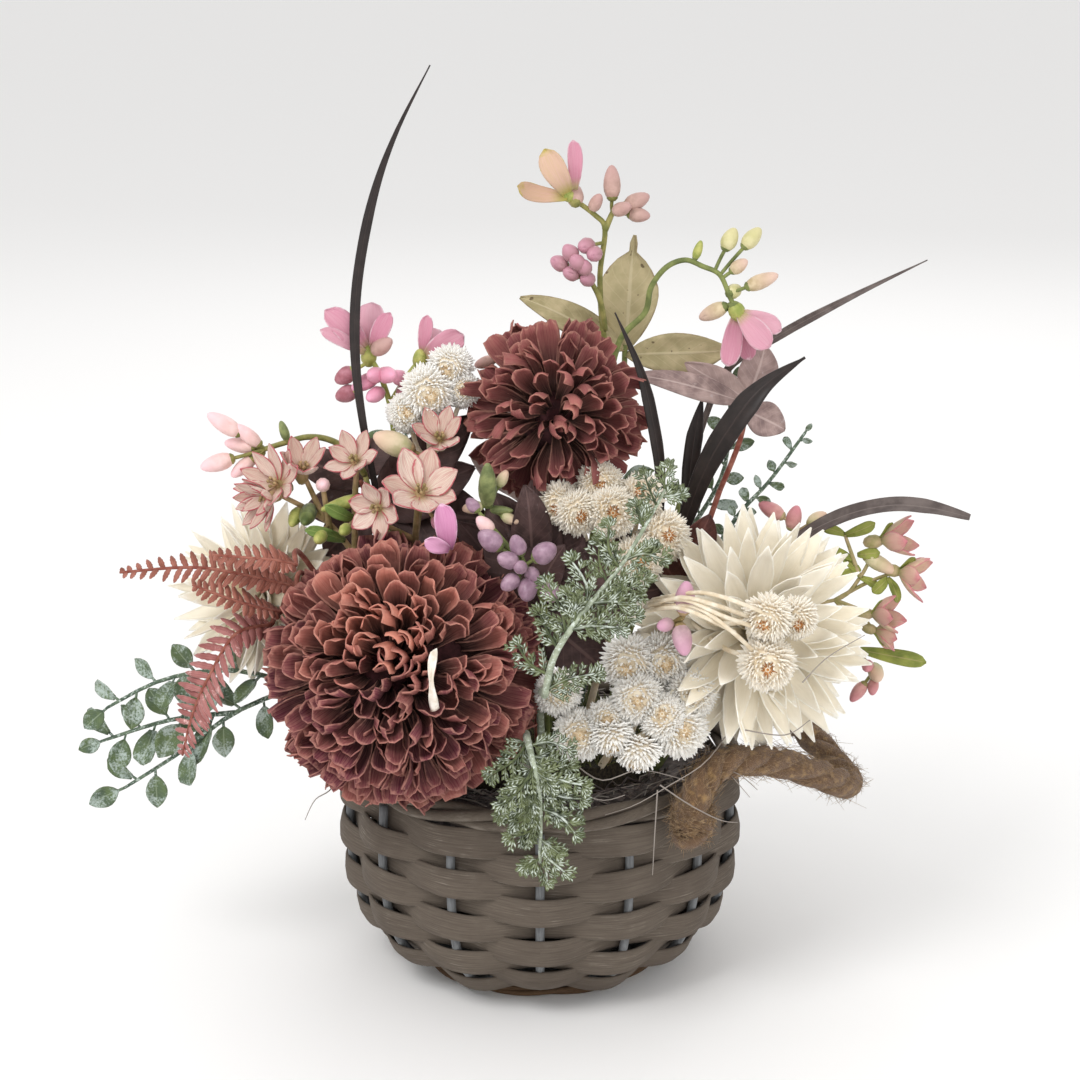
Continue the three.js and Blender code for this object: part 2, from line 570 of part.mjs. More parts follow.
// Every plant: its name and colour, the place where its stem takes over, what grows on
// it, and whether it is a slim thing that everything else gives way to.
const PLANTS = [
  { name: "mum_large", colour: DUSKY_RED, foot: [-54, -52, -58], stem: 2.2, make: bloomHead,
    facing: vec(-0.12, -0.9, 0.4), radius: 51, core: 26, petals: 38, width: 17.5, open: 118 },
  { name: "mum_small", colour: DUSKY_RED, foot: [6, 51, -22], stem: 2, make: bloomHead,
    facing: vec(0.08, -0.98, 0.05), radius: 35, core: 15, petals: 27, width: 13, open: 116 },
  { name: "cream_bloom_right", colour: IVORY, foot: [84, -36, -48], stem: 2, make: bloomHead,
    facing: vec(0.3, -0.85, 0.35), radius: 47, core: 15, petals: 31, width: 17, open: 112, pointed: true },
  { name: "cream_bloom_left", colour: IVORY, foot: [-110, -21, -6], stem: 2, make: bloomHead,
    facing: vec(-0.6, -0.65, 0.3), radius: 37, core: 13, petals: 22, width: 16, open: 108, pointed: true },
  { name: "straw_flowers_upper", colour: STRAW, foot: [30, -26, -32], stem: 1.6, make: strawBunch,
    facing: FRONT, gather: [30, -26, -32],
    heads: [[7, 13, -48, 9], [16, 10, -54, 9], [29, 11, -56, 10], [24, 22, -46, 9], [40, 19, -46, 9],
      [51, 2, -50, 10], [40, -8, -58, 10]] },
  { name: "straw_flowers_lower", colour: STRAW_WHITE, foot: [30, -82, -44], stem: 1.6, make: strawBunch,
    facing: FRONT, gather: [30, -82, -44],
    heads: [[35, -51, -72, 11], [50, -49, -70, 10], [61, -62, -74, 10], [39, -64, -80, 10],
      [49, -70, -82, 9], [57, -76, -80, 11], [8, -61, -74, 9], [16, -78, -80, 10], [27, -72, -80, 8],
      [29, -82, -82, 8], [38, -87, -82, 9]] },
  { name: "straw_flowers_right", colour: STRAW, foot: [54, -26, -50], stem: 1.4, make: strawBunch,
    facing: RIGHT_FRONT, gather: [54, -26, -50], slim: true,
    heads: [[90, -33, -98, 9], [103, -33, -92, 8], [91, -51, -98, 10.5]] },
  { name: "straw_flowers_left", colour: STRAW_WHITE, foot: [-44, 32, -16], stem: 1.4, make: strawBunch,
    facing: FRONT, gather: [-44, 32, -16],
    heads: [[-37, 68, -24, 9], [-44, 58, -30, 11], [-53, 51, -28, 8], [-31, 60, -26, 7]] },
  { name: "cedar_centre", colour: FROSTED_GREEN, foot: [2, -62, -90], bends: [[0, -66, -58]], stem: 1.5, make: scaleSprig,
    facing: FRONT, pairs: 7, reach: 19,
    way: [[2, -62, -90], [6, -46, -96], [18, -28, -97], [34, -8, -86], [50, 20, -74]] },
  { name: "cedar_hanging", colour: FROSTED_GREEN, foot: [-5, -80, -86], bends: [[-6, -80, -60]], stem: 1.5, make: scaleSprig,
    facing: FRONT, pairs: 7, reach: 19,
    way: [[-5, -80, -86], [-3, -88, -97], [0, -104, -102], [0, -129, -99]] },
  { name: "fern_main", colour: FERN_ROSE, foot: [-98, -19, -46], bends: [[-89, -20, -30]], stem: 1, make: fernFrond,
    facing: ABOVE, leaflets: 11, width: 13,
    way: [[-98, -19, -46], [-114, -15, -50], [-138, -11, -52], [-168, -13, -50]] },
  { name: "fern_upper", colour: FERN_ROSE, foot: [-98, -10, -54], bends: [[-90, -13, -33]], stem: 1, make: fernFrond,
    facing: ABOVE, leaflets: 7, width: 11,
    way: [[-98, -10, -54], [-108, -8, -59], [-131, -6, -60]] },
  { name: "fern_lower", colour: FERN_ROSE, foot: [-104, -29, -48], bends: [[-91, -26, -27]], stem: 1, make: fernFrond,
    facing: ABOVE, leaflets: 7, width: 11,
    way: [[-104, -29, -48], [-120, -25, -58], [-139, -18, -61]] },
  { name: "fern_drooping", colour: FERN_ROSE, foot: [-108, -34, -42], bends: [[-95, -34, -22]], stem: 1, make: fernFrond,
    facing: LEFT_FRONT, leaflets: 11, width: 19,
    way: [[-108, -34, -42], [-122, -38, -50], [-133, -56, -54], [-139, -70, -52], [-143, -86, -48]] },
  { name: "eucalyptus_left", colour: LEAF_GREEN, foot: [-96, -58, -16], stem: 1.2, make: roundLeaves,
    facing: LEFT_FRONT, size: 13, leaves: 5,
    twigs: [[[-96, -58, -16], [-122, -69, -24], [-144, -85, -26], [-166, -99, -28]],
      [[-96, -58, -16], [-124, -52, -22], [-151, -56, -26], [-173, -67, -28]],
      [[-122, -69, -24], [-148, -72, -22], [-174, -80, -22]]] },
  { name: "green_sprig_right", colour: LEAF_GREEN, foot: [70, -4, 4], stem: 0.9, make: roundLeaves,
    facing: FRONT, size: 6, leaves: 7, twigs: [[[70, -4, 4], [80, 11, 4], [92, 24, 4], [106, 43, 2]]] },
  { name: "green_sprig_behind", colour: LEAF_GREEN, foot: [60, 4, 26], stem: 1, make: roundLeaves,
    facing: FRONT, size: 10, leaves: 6, twigs: [[[60, 4, 26], [74, 30, 28], [76, 70, 28]]] },
  { name: "purple_leaves_top", colour: DUSKY_PURPLE, foot: [72, 20, 8], stem: 1.2, make: leafySprig,
    facing: FRONT, twigs: [[[72, 20, 8], [80, 40, 6], [83, 56, 6]]],
    leaves: [[[82, 55, 6], [37, 66, -8], 10], [[83, 56, 6], [58, 71, 2], 12], [[83, 56, 6], [90, 78, 10], 16],
      [[82, 52, 6], [98, 44, 2], 14]] },
  { name: "purple_leaves_left", colour: DUSKY_PURPLE, foot: [-66, 12, -2], stem: 1.1, make: leafySprig,
    facing: FRONT, twigs: [[[-66, 12, -2], [-72, 24, -4]]],
    leaves: [[[-71, 22, -3], [-100, 34, -2], 15], [[-72, 24, -4], [-60, 42, 0], 13],
      [[-66, 14, -2], [-94, 12, 2], 14], [[-67, 12, -4], [-30, 16, -12], 18]] },
  { name: "purple_leaves_centre", colour: DUSKY_PURPLE, foot: [-2, -30, -36], stem: 1.1, make: leafySprig,
    facing: FRONT, twigs: [[[-2, -30, -36], [-3, -10, -40]]],
    leaves: [[[-3, -10, -40], [-6, 22, -52], 16], [[-2, -22, -38], [10, -2, -50], 13],
      [[-2, -26, -37], [-26, -2, -44], 18], [[0, -26, -38], [14, 14, -40], 24],
      [[0, -28, -38], [34, -14, -42], 18], [[-1, -29, -37], [22, -44, -46], 15]] },
  { name: "reddish_leaves", colour: REDDISH, foot: [56, -22, -30], stem: 1.1, make: leafySprig,
    facing: FRONT, twigs: [[[56, -22, -30], [58, -8, -32]]],
    leaves: [[[58, -8, -32], [68, 10, -38], 14], [[56, -20, -31], [46, -2, -40], 13]] },
  { name: "olive_leaves", colour: OLIVE_TAN, foot: [33, 44, 20], stem: 1.3, make: leafySprig,
    facing: FRONT, twigs: [[[33, 44, 20], [34, 78, 18]]],
    leaves: [[[34, 76, 18], [-8, 97, 10], 13], [[34, 76, 18], [38, 122, 22], 25, 0.05],
      [[34, 74, 18], [76, 76, 14], 16]] },
  { name: "blade_tall", colour: DARK_BLADE, foot: [-64, 12, -22], stem: 1.3, make: longBlade, width: 3.8,
    facing: FRONT, slim: true, way: [[-64, 12, -22], [-71, 48, -22], [-74, 76, -20], [-73, 104, -14],
      [-67, 136, -10], [-58, 162, -8], [-44, 190, -6]] },
  { name: "blade_middle", colour: DARK_BLADE, foot: [48, 8, -20], stem: 1.3, make: longBlade, width: 4.6,
    facing: FRONT, slim: true, way: [[48, 8, -20], [48, 28, -26], [45, 48, -28], [40, 68, -28], [30, 91, -24]] },
  { name: "blade_wide", colour: DARK_BLADE, foot: [56, 2, -14], stem: 1.5, make: longBlade, width: 10.5,
    facing: FRONT, slim: true, way: [[56, 2, -14], [66, 28, -20], [78, 48, -22], [90, 62, -20], [106, 73, -12]] },
  { name: "blade_short", colour: DARK_BLADE, foot: [58, 6, -4], stem: 1.3, make: longBlade, width: 6.5,
    facing: FRONT, slim: true, steps: 5, way: [[58, 6, -4], [61, 36, -4], [65, 57, -2]] },
  { name: "blade_thin_right", colour: GREY_BLADE, foot: [62, 36, 20], stem: 1.2, make: longBlade, width: 3.4,
    facing: FRONT, slim: true, way: [[62, 36, 20], [74, 67, 20], [96, 82, 16], [124, 97, 12], [155, 112, 8]] },
  { name: "blade_arched", colour: ARCHED_BLADE, foot: [84, -14, 10], stem: 1.4, make: longBlade, width: 7.5,
    facing: ABOVE, slim: true, way: [[84, -14, 10], [104, 1, -2], [122, 10, -8], [140, 14, -14], [156, 13, -18],
      [172, 9, -22]] },
  { name: "pink_spray_top", colour: PINK, foot: [28, 66, 4], stem: 1.2, make: flowerSpray,
    facing: FRONT, twigs: [[[28, 66, 4], [31, 98, 4], [27, 122, 4], [22, 134, 2], [14, 139, 0]],
      [[27, 122, 4], [34, 134, 4]], [[31, 98, 4], [20, 111, -2]], [[28, 66, 4], [6, 72, 4], [-10, 75, 3]]],
    flowers: [[-10, 75, 3, 11, 4, 0.9, vec(-0.1, -0.4, 0.9)]],
    buds: [[-22, 71, 2, 2.4, 1.7], [20, 140, 2, 3.2], [29, 146, 4, 3.6, 1.8], [33, 132, 0, 3.4], [40, 136, 4, 3.6], [40, 129, 2, 3],
      [14, 112, -6, 3.2, 1], [21, 118, -5, 3.2, 1], [16, 105, -6, 3, 1], [24, 110, -5, 3.2, 1]],
    leaves: [[[14, 139, 0], [-7, 140, -4], 8], [[14, 139, 0], [3, 155, -2], 10], [[14, 139, 0], [14, 161, -2], 7]] },
  { name: "pink_spray_arching", colour: PINK, foot: [27, 60, -2], stem: 1.2, make: flowerSpray,
    facing: FRONT, twigs: [[[27, 60, -2], [30, 80, -4], [41, 94, -5], [46, 106, -6], [58, 112, -7], [70, 109, -8],
      [77, 101, -10]]],
    buds: [[75, 120, -8, 3, 1.7], [84, 121, -8, 3.2], [82, 109, -10, 3.2], [91, 103, -10, 3.2, 2],
      [69, 91, -8, 3.2, 1.7], [72, 113, -8, 2.6]],
    flowers: [[77, 99, -11, 19, 5, 0.85, vec(0.35, -0.45, -0.8)]] },
  { name: "pink_spray_left", colour: PINK, foot: [-58, 40, -10], stem: 1.1, make: flowerSpray,
    facing: FRONT, twigs: [[[-58, 40, -10], [-60, 54, -12], [-64, 68, -12], [-72, 80, -10]],
      [[-60, 54, -12], [-48, 68, -12], [-42, 76, -10]]],
    buds: [[-65, 79, -14, 3.2], [-79, 67, -10, 2.8], [-80, 59, -10, 3, 1.2], [-60, 62, -18, 4.2, 1.2]],
    flowers: [[-69, 69, -9, 20, 4, 0.95, vec(-0.35, -0.4, 0.85)], [-49, 67, -9, 20, 4, 0.95, vec(0.4, -0.4, 0.8)]] },
  { name: "pink_spray_far_left", colour: PINK, foot: [-70, 26, -8], stem: 1.1, make: flowerSpray,
    facing: FRONT, twigs: [[[-70, 26, -8], [-78, 38, -12], [-96, 42, -14], [-108, 38, -16], [-121, 34, -18]]],
    buds: [[-126, 46, -18, 3.6, 1.8], [-131, 31, -20, 3.4, 1.8], [-116, 44, -16, 3.2], [-118, 27, -20, 3],
      [-110, 31, -20, 3]] },
  { name: "lilac_berries", colour: LILAC, foot: [3, -36, -46], stem: 1, make: flowerSpray,
    facing: FRONT, twigs: [[[3, -36, -46], [1, -24, -62], [-6, -10, -70]]],
    buds: [[-20, 0, -70, 4, 1.2], [-13, -8, -74, 3.8, 1.2], [-8, 0, -70, 3.8, 1.2], [2, -5, -72, 4.2, 1.1],
      [-5, -20, -74, 4, 1.2], [4, -21, -72, 4, 1.2], [-12, -17, -74, 3.8, 1.2]] },
  { name: "buds_right", colour: LILAC, foot: [50, -34, -54], stem: 1, make: flowerSpray, slim: true,
    facing: FRONT, twigs: [[[50, -34, -54], [52, -34, -80], [57, -31, -89]]],
    buds: [[58, -23, -90, 4.4, 1.6], [57, -40, -92, 4.2, 1.4], [65, -37, -94, 3.6, 1.4]] },
  { name: "green_buds_centre", colour: BUD_GREEN, foot: [-20, 0, -34], stem: 1, make: flowerSpray,
    facing: FRONT, twigs: [[[-20, 0, -34], [-21, 14, -50]]],
    buds: [[-21, 22, -54, 4.4, 2.2], [-12, 8.4, -52, 2.2, 1.6], [-27, 13, -52, 2.5, 1.6], [-15, 24.5, -50, 2.2, 1.6],
      [-21.5, 5, -52, 2, 1.5]] },
  { name: "star_blossom", colour: PEACH, foot: [-50, -2, -36], stem: 1.1, make: flowerSpray,
    facing: FRONT, twigs: [[[-50, -2, -36], [-49, 12, -44], [-48, 24, -48]], [[-50, 0, -37], [-66, 8, -42]]],
    flowers: [[-48, 24, -49, 18, 6, 0.35, vec(0, -0.9, 0.4)], [-67, 9, -43, 13, 5, 0.6, LEFT_FRONT]],
    buds: [[-59, 40, -36, 4, 1.8], [-40, 6, -56, 3, 1.6]] },
  { name: "blossom_spray_left", colour: PEACH, foot: [-74, -6, -26], stem: 1.2, make: flowerSpray,
    facing: FRONT, twigs: [[[-74, -6, -26], [-86, 8, -24], [-104, 18, -24]], [[-86, 8, -24], [-95, 27, -20]],
      [[-74, -6, -26], [-74, 16, -30], [-73, 32, -27]]],
    flowers: [[-106, 20, -24, 18, 7, 0.6, LEFT_FRONT], [-92, 31, -20, 11, 5, 0.7, vec(0, -0.7, 0.7)],
      [-73, 34, -27, 13, 5, 0.6, FRONT]],
    leaves: [[[-84, 4, -24], [-96, 15, -36], 7], [[-78, 0, -26], [-94, 4, -40], 6], [[-74, 8, -28], [-86, 12, -40], 5]] },
  { name: "blossom_spray_right", colour: PEACH, foot: [92, -26, 12], stem: 1.3, make: flowerSpray,
    facing: RIGHT_FRONT, twigs: [[[92, -26, 12], [118, -24, 4], [128, -15, 0], [135, -1, -3]],
      [[118, -24, 4], [131, -17, 0], [143, -12.5, -4]], [[118, -24, 4], [126, -27, 0], [132, -29.5, -4]],
      [[126, -27, 0], [133.5, -36, -4]], [[104, -24, 8], [126, -44, 0], [134, -52, -2]],
      [[104, -24, 8], [106, -2, 4], [101, 7, 2]], [[128, -15, 0], [122, 2, 0]]],
    flowers: [[135.5, -0.4, -3, 16, 4, 1.05, vec(0.93, -0.3, 0.2)], [143, -12.5, -4, 15, 4, 0.95, vec(0.93, -0.35, -0.05)],
      [132, -29.5, -4, 14, 4, 1.05, vec(0.93, -0.35, 0.12)], [133.5, -36, -4, 12.5, 4, 0.95, vec(0.9, -0.35, -0.15)]],
    buds: [[92.5, 12, 4, 3.2, 1.7], [101.6, 9, 2, 3.2, 1.5], [111, 8.4, 0, 3, 1.5], [136, -9.6, -3, 3.2, 2.1],
      [136, -53, -4, 3.3, 1.6], [127.5, -61, -2, 2.8, 1.7]],
    leaves: [[[128, -44, -1], [154.5, -49, -6], 7], [[128, -11, 0], [115, -17, 3], 6.5], [[122, 2, 0], [134, 7, -3], 5],
      [[139, -15, -3], [143, -25, -5], 5]] },
  { name: "eucalyptus_back_left", colour: LEAF_GREEN, foot: [-30, -16, 34], stem: 1.2, make: roundLeaves,
    facing: REAR, size: 19, leaves: 4,
    twigs: [[[-30, -16, 34], [-46, 14, 48], [-54, 44, 52]], [[-30, -16, 34], [-62, -20, 54], [-88, -14, 60]]] },
  { name: "eucalyptus_back_right", colour: LEAF_GREEN, foot: [26, -16, 36], stem: 1.2, make: roundLeaves,
    facing: REAR, size: 19, leaves: 4,
    twigs: [[[26, -16, 36], [30, 22, 50], [24, 54, 52]], [[26, -16, 36], [52, -18, 56], [76, -16, 64]]] },
  { name: "cedar_back", colour: FROSTED_GREEN, foot: [-2, -26, 40], stem: 1.4, make: scaleSprig,
    facing: REAR, pairs: 5, reach: 22, way: [[-2, -26, 40], [-4, -28, 64], [-8, -38, 82]] },
  { name: "purple_leaves_back", colour: DUSKY_PURPLE, foot: [-4, 0, 30], stem: 1.3, make: leafySprig,
    facing: REAR, twigs: [[[-4, 0, 30], [-6, 20, 40], [-10, 44, 42]]],
    leaves: [[[-5, 14, 38], [-28, 34, 50], 18], [[-6, 20, 40], [14, 40, 52], 18], [[-8, 34, 41], [-30, 62, 42], 17],
      [[-10, 44, 42], [2, 72, 40], 17], [[-4, 4, 32], [6, 14, 62], 18], [[-4, 4, 32], [-22, 8, 64], 16]] },
];

// ---------------------------------------------------------------- stems in their holes
const HOLE_SPACING = 8.5;
const HOLE_REACH = 41;

// The stems stand apart in the foam: each hole starts under its own bloom and is moved
// until no two are nearer than HOLE_SPACING.
function spreadHoles(plants) {
  const holes = plants.map((plant) => {
    const top = seen(...plant.foot);
    const flat = vec(top.x, top.y, 0).multiplyScalar(0.42);
    return flat.clampLength(0, HOLE_REACH);
  });
  for (let round = 0; round < 200; round++) {
    for (let i = 0; i < holes.length; i++) {
      for (let j = i + 1; j < holes.length; j++) {
        const apart = new THREE.Vector3().subVectors(holes[i], holes[j]);
        const lack = HOLE_SPACING - apart.length();
        if (lack > 0) {
          apart.setLength(lack / 2);
          holes[i].add(apart).clampLength(0, HOLE_REACH);
          holes[j].sub(apart).clampLength(0, HOLE_REACH);
        }
      }
    }
  }
  return holes;
}

// A stem's way from what it carries, by its bends if it has any, down into its hole.
function stemWay(plant, hole, grow = 0) {
  const way = [...seenPath([plant.foot, ...(plant.bends || [])]), vec(hole.x, hole.y, STEM_END - grow)];
  const upward = new THREE.Vector3().subVectors(way[0], way[1]).normalize();
  way[0].addScaledVector(upward, grow * 2);
  return way;
}

function near(a, b) {
  const one = a.boundingBox();
  const two = b.boundingBox();
  return [0, 1, 2].every((k) => one.min[k] < two.max[k] && two.min[k] < one.max[k]);
}

function cutBy(solid, others) {
  return others.filter((other) => near(solid, other))
    .reduce((left, other) => left.subtract(other), solid).simplify(SMALLEST_EDGE);
}

// Each plant is its stem fused to what grows on it. What grows gives way to every other
// stem and slim thing, to the basket, and to the plants named before it.
function arrange(plants, holes, standing) {
  const stems = plants.map((plant, i) => tube(stemWay(plant, holes[i]), plant.stem, 3));
  const clearings = plants.map((plant, i) => tube(stemWay(plant, holes[i], GAP), plant.stem + 2 * GAP, 3));
  const order = plants.map((_, i) => i).sort((a, b) => Number(!!plants[b].slim) - Number(!!plants[a].slim));
  const grown = [];
  const solids = [];
  for (const i of order) {
    const plant = { ...plants[i], centre: seen(...plants[i].foot) };
    const body = fuse(plant.make(plant, 0));
    const others = clearings.filter((_, j) => j !== i);
    const left = cutBy(body, [...standing, ...others, ...grown]);
    const whole = largestBody(fuse([stems[i], left]));
    solids[i] = whole;
    grown.push(fuse([fuse(plant.make(plant, GROWN)), clearings[i]]));
  }
  return { solids, clearings };
}

// ---------------------------------------------------------------- the whole
const arrangement = new THREE.Group();
arrangement.name = "flower_basket_arrangement";

function addNode(name, solid, colour, roughness = 0.8) {
  const geometry = geometryOf(solid);
  geometry.computeVertexNormals();
  const part = new THREE.Mesh(geometry, new THREE.MeshStandardMaterial({ color: colour, roughness, metalness: 0 }));
  part.name = name;
  arrangement.add(part);
}

const rim = borderRing(RIM_RADIUS, RIM_HEIGHT, RIM_ROD, RIM_TURNS, 3, 0.28);
const bottomBorder = borderRing(BOARD_RADIUS + BORDER_RADIUS + GAP, BORDER_RADIUS + 0.1, BORDER_RADIUS, BORDER_TURNS, 2, 0.2);
const rope = ropeHandle();
const standing = [borderRing(RIM_RADIUS, RIM_HEIGHT, RIM_ROD + GAP, RIM_TURNS, 3, 0.2), ropeHandle(GAP)];
for (let row = 0; row < ROWS; row++) {
  const solid = weaveRow(row);
  addNode(`weave_strip_${row + 1}`, solid, WILLOW);
}
addNode("base_and_stakes", basketBase(), STAKE_GREY);
addNode("bottom_border", bottomBorder, BROWN_WILLOW);
addNode("rim_border", rim, WILLOW);
addNode("rope_handle", rope, JUTE, 0.95);

const holes = spreadHoles(PLANTS);
const { solids, clearings } = arrange(PLANTS, holes, standing);
PLANTS.forEach((plant, i) => addNode(plant.name, solids[i], plant.colour));

const openings = fuse(clearings);
addNode("foam_block", largestBody(turned(FOAM_OUTLINE).subtract(openings)), FOAM, 0.95);
const heads = solids.filter((_, i) => !PLANTS[i].slim);
addNode("twig_nest", largestBody(cutBy(twigNest(), [openings, ...standing, ...heads])), DARK_TWIG, 0.95);

export default arrangement;
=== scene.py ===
"""Flower basket arrangement: artificial and dried flowers in a split-willow basket."""

import math

import bmesh
import bpy
from bpy.props import FloatProperty, FloatVectorProperty, PointerProperty
from mathutils import Matrix, Vector


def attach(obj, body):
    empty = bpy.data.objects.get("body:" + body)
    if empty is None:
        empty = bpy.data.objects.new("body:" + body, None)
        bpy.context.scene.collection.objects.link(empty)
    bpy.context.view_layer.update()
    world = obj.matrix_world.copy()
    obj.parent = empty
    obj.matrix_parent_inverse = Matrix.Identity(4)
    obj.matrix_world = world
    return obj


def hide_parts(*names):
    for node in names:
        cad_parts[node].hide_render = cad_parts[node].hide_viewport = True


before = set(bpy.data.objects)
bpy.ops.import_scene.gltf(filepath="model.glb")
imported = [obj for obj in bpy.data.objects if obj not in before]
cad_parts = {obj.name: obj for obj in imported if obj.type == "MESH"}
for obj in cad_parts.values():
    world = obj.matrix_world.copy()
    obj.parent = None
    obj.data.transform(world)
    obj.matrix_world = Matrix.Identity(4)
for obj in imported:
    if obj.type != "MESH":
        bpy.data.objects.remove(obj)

bl_info = {
    "name": "Flower basket arrangement",
    "version": (1, 0, 0),
    "blender": (4, 5, 0),
    "location": "3D View > Sidebar > Flower basket",
    "description": "Builds the blooms, leaves and woven basket round the packed solids",
    "category": "Add Mesh",
}

MM = 0.001
GOLDEN_ANGLE = math.pi * (3 - math.sqrt(5))

# The arrangement is set out as it is seen from the front and a little above. Places are
# right, up and depth: millimetres on the picture plane through the point aimed at, and
# the real Y. All shapes are made in millimetres and scaled once, when a piece is done.
EYE_DISTANCE = 900.0
EYE_TILT = math.radians(15.5)
AIM_HEIGHT = 175.6
CAMERA_LENS = 75
CAMERA_SENSOR = 36

UP = Vector((0, 0, 1))
FRONT = Vector((0, -0.96, 0.27))
LEFT_FRONT = Vector((-0.55, -0.75, 0.35))
RIGHT_FRONT = Vector((0.55, -0.75, 0.35))
ABOVE = Vector((0, -0.6, 0.8))
REAR = Vector((0, 0.8, 0.6))

# The stage, in metres: name, place, size and power of each light.
STUDIO_LIGHTS = [
    ("key_light", (-0.9, -1.1, 1.6), 0.8, 17),
    ("fill_light", (0.9, -1.6, 0.6), 1.4, 8),
    ("back_light", (0.3, 1.4, 1.2), 1.0, 4),
]
LIGHTS_AIM_AT = Vector((0, 0, 0.15))
SKY_STRENGTH = 0.83
FLOOR_HALF_SIZE = 40.0

# The basket, in millimetres, to the same sizes as its solids.
STAKES = 14
STAKE_RADIUS = 1.75
STAKE_TOP = 81.5
STAKE_FOOT = (44, 4.9)
ROWS = 9
FIRST_ROW_ALONG_WALL = 11.3
ROW_PITCH = 8.85
STRIP_SWING = 3.05
SHINGLE_LEAN = 0.6  # how far a strip's top edge lies in behind its bottom edge
BOARD_RADIUS = 47
BOARD_THICKNESS = 7
BOARD_BEVEL = 0.8
RIM_RADIUS = 77.5
RIM_HEIGHT = 87
RIM_TURNS = 14
BORDER_TURNS = 10

# The rope and its knots.
ROPE_STEPS = 200
ROPE_STRANDS = 3
ROPE_TWISTS = 9
ROPE_FIBRES = 3400
KNOT_RADIUS = 9.2
KNOT_ABOVE_END = 5
KNOT_COILS = 4
KNOT_STEPS = 24
KNOT_FIBRES = 760
FRAYED_FIBRES = 120

# What lies in the basket's mouth: the nest, as a ring with this section, the moss and the stems.
NEST_PROFILE = [(51, 76.5), (69, 76.5), (69.5, 84), (61, 88), (52, 85.5)]
NEST_RADIUS = 61
NEST_TOP = 86.5
NEST_TWIGS = 420
NEST_ROUNDS = 7
MOSS_TUFTS = 900
MOSS_RADIUS = 45
MOSS_TOP = 97.6
MOSS_SLOPE = 4 / 46
HOLE_SPACING = 8.5
HOLE_REACH = 41
HOLE_SHARE = 0.42  # how far out a hole starts, as a share of its plant's distance from the middle
HOLE_ROUNDS = 200
STEM_END = 66
STEM_SHARE = 0.85  # a stem's radius here, as a share of its solid's

# How finely the plants are made.
STRAW_BRACTS = 250
STAR_RAYS = 15
STAMENS = 5
BLADE_STEPS = 40
SHRED_STEPS = 12
CEDAR_RIB_SPACING = 3.2
CEDAR_NEEDLE_SPACING = 1.9
# Past this lean a mum's petals take none of their second colour, neither the warmer inner tone nor the
# painted light from above.
WARM_AND_LIT_REACH = math.radians(78)  # lean at which a mum's petals lose their warm tone
LAST_ROW = 0.99  # past this share of its length a petal's points are its tip
NEARLY_PARALLEL = 0.05
BATCH_SIZE = 600
BUD_CLOUDS = 240
STAKE_SHADE = 0.6

# The wall of the bowl from the board's edge to the rim, as radius and height.
WALL = [(52, 5), (58, 9), (67.5, 17.5), (73, 26), (77, 39), (79, 58), (78, STAKE_TOP)]

# The middle line of the rope, from knot to knot round the back.
ROPE_WAY = [
    (57.2, -73.5, 82), (58.3, -74.6, 92), (61, -72.5, 100), (68, -66, 105), (80, -57, 103.5),
    (93.4, -47, 98.6), (110, -36, 89.5), (121, -24, 81), (125.5, -9, 76.5), (123, 9, 76), (117, 28, 79),
    (106, 48, 84), (90, 66, 89), (70, 79.5, 93), (48, 88.5, 96), (21, 95.5, 98), (-8, 97, 100),
    (-33, 92, 102), (-50, 83, 103), (-57, 77, 99), (-58.3, 74.6, 92), (-57.2, 73.5, 82),
]

# A paper shred lying on the large mum, as right, up and depth.
SHRED_WAY = [(-42.5, -44, -108), (-43.5, -54, -109), (-43, -62, -108), (-42, -68, -105)]

# Single hairs that stand out of the nest, as right, up and depth.
LOOSE_HAIRS = [
    [(76, -76, -60), (66, -89, -78), (52, -98, -86), (38, -106, -88), (26, -110, -86)],
    [(74, -92, -62), (78, -96, -70), (84, -103, -74)],
    [(74, -92, -62), (80, -94, -72), (87, -100, -72)],
    [(47, -100, -84), (46, -116, -88), (45, -134, -86)],
    [(48, -98, -84), (60, -106, -86), (72, -112, -82), (79, -113, -78)],
    [(-78, -92, -40), (-84, -100, -44), (-90, -104, -48), (-94, -112, -50)],
    [(10, -86, -76), (24, -96, -86), (40, -92, -84), (58, -96, -76)],
    [(-10, -88, -78), (10, -98, -88), (24, -104, -88), (34, -102, -88)],
    [(105, -57, -96), (115, -47, -100), (130, -38, -98)],
    [(82, -76, -80), (98, -78, -84), (108, -72, -80)],
]


def planted(kind, name, dress, foot, stem, facing=FRONT, **parts):
    """A plant: its kind, node and finishes, where its stem takes over and how thick that is."""
    if "way" in parts:
        parts["way"] = [foot, *parts["way"]]
    return dict(parts, kind=kind, name=name, dress=dress, foot=foot, stem=stem, facing=Vector(facing))
